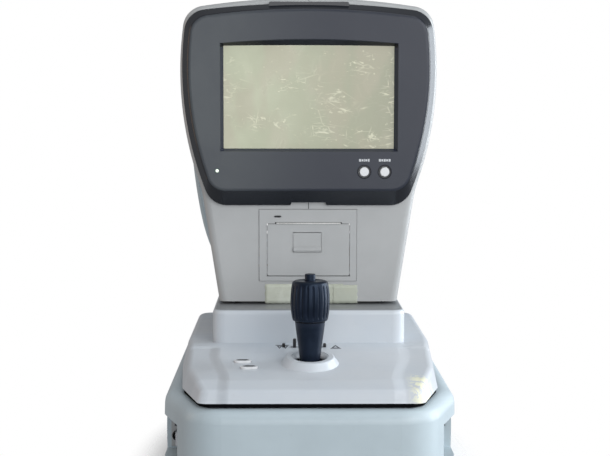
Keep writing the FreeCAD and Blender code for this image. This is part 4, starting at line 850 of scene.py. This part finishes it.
def skirt_gap_band():
    """Near-black band under the skirt of the stage, just clear of the deck of the base, that makes the
    gap there dark.
    """
    low, high = COVER_LOW, COVER_HIGH
    inset = 1.6
    front, rear = low.y + inset, high.y - inset
    side = high.x - inset
    nose = 88 - inset
    nose_corner = [(nose - 7.2, front), (nose + 1.6, front + 7)]
    corners = nose_corner + [(side - 7, -178), (side, -80), (side, rear)]
    outline = corners + [(-x, y) for x, y in reversed(corners)]
    inner = [(x * 0.93, y * 0.95 + 1) for x, y in outline]
    z0, z1 = low.z - 3.4, low.z + 1.5
    verts = []
    for ring in (outline, inner):
        for z in (z0, z1):
            verts += [(x, y, z) for x, y in ring]
    count = len(outline)
    faces = []
    for i in range(count):
        k = (i + 1) % count
        faces += [
            (i, k, count + k, count + i),
            (2 * count + k, 2 * count + i, 3 * count + i, 3 * count + k),
            (k, i, 2 * count + i, 2 * count + k),
            (count + i, count + k, 3 * count + k, 3 * count + i),
        ]
    gap_band = add_mesh("skirt_gap_band", verts, faces, smooth=False)
    fix_normals(gap_band)
    dress(gap_band, "gap_black", "stage")


# ---- base ----
def port_details():
    """Dark surround and bright pin of the round socket, and a strip of generic marks above it."""
    low, high = low_high("port_panel")
    y = high.y - 1.2
    x, z = low.x + 5.0, 56.0
    profile = [(2.4, y), (4.4, y), (4.4, y - 1.6), (3.9, y - 2.0), (2.4, y - 2.0)]
    surround = lathe("port_surround", profile, (x, 0, z), steps=40, axis="Y", ring=True)
    dress(surround, "black_plastic", "base")
    profile = [(0.9, y + 1.0), (0.9, y - 2.4), (0.5, y - 2.8)]
    pin = lathe("port_pin", profile, (x, 0, z), steps=20, axis="Y")
    dress(pin, "polished", "base")
    marks = []
    for i, width in enumerate((3.0, 2.4, 3.0, 2.0, 3.0)):
        foot = z + 8.0 + 3.0 * i
        outline = rectangle(x - 2.2, x - 2.2 + width, foot, foot + 2.3)
        marks.append(upright_slab("mark", outline, y, 0.05))
    dress(join("port_marks", marks), "grey_print", "base")


# ---- face rest ----
def forehead_pad():
    """Soft pad on the forehead bar: crowned, with rounded ends and a rolled edge."""
    low, high = low_high("forehead_pad")
    radius = 201.0
    centre_y = low_high("forehead_bar")[0].y + 207.0
    half_w = high.x - 0.6
    z_mid = (low.z + high.z) / 2
    half_z = (high.z - low.z) / 2 - 0.3
    columns, rows = 48, 16
    verts = []
    faces = []
    for i in range(columns + 1):
        u = -1 + 2 * i / columns
        end = (1 - abs(u) ** 5) ** 0.5
        for j in range(rows + 1):
            v = -1 + 2 * j / rows
            swell = 7.4 * (1 - abs(v) ** 3.2) ** 0.6 * end ** 0.7 + 0.15
            angle = u * half_w / radius
            height = v * half_z * (0.72 + 0.28 * end)
            verts.append((
                (radius - 0.1 - swell) * math.sin(angle),
                centre_y - (radius - 0.1 - swell) * math.cos(angle),
                z_mid + height,
            ))
    for i in range(columns):
        for j in range(rows):
            a = i * (rows + 1) + j
            faces.append((a, a + 1, a + rows + 2, a + rows + 1))
    back = len(verts)
    for i in range(columns + 1):
        u = -1 + 2 * i / columns
        end = (1 - abs(u) ** 5) ** 0.5
        for v in (-1, 1):
            angle = u * half_w / radius
            height = v * half_z * (0.72 + 0.28 * end)
            reach = radius - 0.05
            verts.append((reach * math.sin(angle), centre_y - reach * math.cos(angle), z_mid + height))
    for i in range(columns):
        a = i * (rows + 1)
        b = back + i * 2
        faces.append((a, a + rows + 1, b + 2, b))
        faces.append((a + rows, b + 1, b + 3, a + 2 * rows + 1))
        faces.append((b, b + 2, b + 3, b + 1))
    for i in (0, columns):
        a = i * (rows + 1)
        b = back + i * 2
        faces.append([a + j for j in range(rows + 1)] + [b + 1, b])
    pad = add_mesh("forehead_cushion", verts, faces)
    fix_normals(pad)
    dress(pad, "pad", "base")
    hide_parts("forehead_pad")


def eye_marks():
    """Short line on each upright at the height of the measuring axis."""
    z = sum(v.z for v in low_high("nose_cone")) / 2
    y = FRAME_LOW.y
    for name, side in (("eye_mark_left", -1), ("eye_mark_right", 1)):
        x = side * (FRAME_HIGH.x - 12.5)
        mark = upright_slab(name, rectangle(x - 8, x + 8, z - 0.5, z + 0.5), y, PRINT_THICK)
        dress(mark, "dark_print", "base")


# ---- stage for the picture ----
CAMERA_PLACE = (-0.020, -1.240, 0.329)
CAMERA_PITCH = 85.0
CAMERA_YAW = -0.835
CAMERA_ROLL = 0.1
CAMERA_LENS = 77.5


def camera():
    data = bpy.data.cameras.new("camera")
    data.lens = CAMERA_LENS
    data.sensor_width = 36.0
    place = bpy.data.objects.new("camera", data)
    place.location = CAMERA_PLACE
    yaw = Matrix.Rotation(math.radians(CAMERA_YAW), 3, "Z")
    pitch = Matrix.Rotation(math.radians(CAMERA_PITCH), 3, "X")
    roll = Matrix.Rotation(math.radians(CAMERA_ROLL), 3, "Z")
    place.rotation_euler = (yaw @ pitch @ roll).to_euler()
    bpy.context.scene.collection.objects.link(place)
    bpy.context.scene.camera = place


def lamp(name, place, target, size, power, color=(1, 1, 1)):
    data = bpy.data.lights.new(name, "AREA")
    data.shape = "RECTANGLE"
    data.size, data.size_y = size
    data.energy = power
    data.color = color
    light = bpy.data.objects.new(name, data)
    light.location = place
    aim = Vector(target) - Vector(place)
    light.rotation_euler = aim.to_track_quat("-Z", "Y").to_euler()
    bpy.context.scene.collection.objects.link(light)


def studio():
    middle = (0, 0, 0.25)
    lamp("window_right", (1.35, 0.0, 0.48), middle, (0.42, 1.1), 13.5, (0.90, 0.95, 1.0))
    lamp("window_behind", (1.17, 0.66, 0.38), (0.11, -0.08, 0.35), (0.34, 0.9), 5.0, (0.86, 0.93, 1.0))
    lamp("room_right", (1.2, -1.5, 0.95), middle, (1.2, 1.2), 15.0, (0.98, 0.99, 1.0))
    lamp("sky_above", (0.3, -0.6, 1.9), middle, (1.4, 1.0), 4.5, (0.92, 0.96, 1.0))
    lamp("room_front", (0.3, -2.2, 0.5), middle, (1.6, 1.0), 12.5, (0.97, 0.98, 1.0))
    lamp("wall_left", (-1.4, 0.05, 0.45), middle, (0.5, 1.0), 2.0, (1.0, 0.66, 0.42))
    world = bpy.data.worlds.new("studio")
    world.use_nodes = True
    nodes = world.node_tree.nodes
    links = world.node_tree.links
    room = nodes["Background"]
    room.inputs["Color"].default_value = (0.93, 0.96, 1.0, 1)
    room.inputs["Strength"].default_value = 0.36
    backdrop = nodes.new("ShaderNodeBackground")
    backdrop.inputs["Color"].default_value = (1, 1, 1, 1)
    backdrop.inputs["Strength"].default_value = 1.0
    path = nodes.new("ShaderNodeLightPath")
    choice = nodes.new("ShaderNodeMixShader")
    links.new(path.outputs["Is Camera Ray"], choice.inputs[0])
    links.new(room.outputs[0], choice.inputs[1])
    links.new(backdrop.outputs[0], choice.inputs[2])
    links.new(choice.outputs[0], nodes["World Output"].inputs["Surface"])
    bpy.context.scene.world = world
    bpy.context.scene.view_settings.view_transform = "Standard"


def floor():
    """Pale floor that fades out into the white backdrop away from the instrument."""
    mesh = bpy.data.meshes.new("floor")
    reach = 6.0
    corners = [(a, b, 0) for a, b in rectangle(-reach, reach, -reach, reach)]
    mesh.from_pydata(corners, [], [(0, 1, 2, 3)])
    plane = bpy.data.objects.new("floor", mesh)
    bpy.context.scene.collection.objects.link(plane)
    surface = Surface("floor", (0.9, 0.9, 0.9), 0.8)
    grain = surface.noise(300.0, 3.0)
    surface.set("Base Color", surface.mix(grain, (0.88, 0.88, 0.88), (0.92, 0.92, 0.92)))
    spread = surface.nodes.new("ShaderNodeVectorMath")
    spread.operation = "LENGTH"
    surface.put(spread, 0, surface.stretched((7.2, 3.8, 1.0)))
    surface.set("Alpha", surface.ramp(spread.outputs["Value"], 0.85, 1.25, 1.0, 0.0))
    mesh.materials.append(surface.material)


dress_frame()
joystick_ring()
screen_details()
paper_edge()
latch_lip()
tape_strip()
printer_lamp()
shell_seam()
status_light()
crater_funnel()
slot_stops()
lock_icons()
chin_marks()
skirt_gap_band()
port_details()
forehead_pad()
eye_marks()
floor()
studio()
camera()
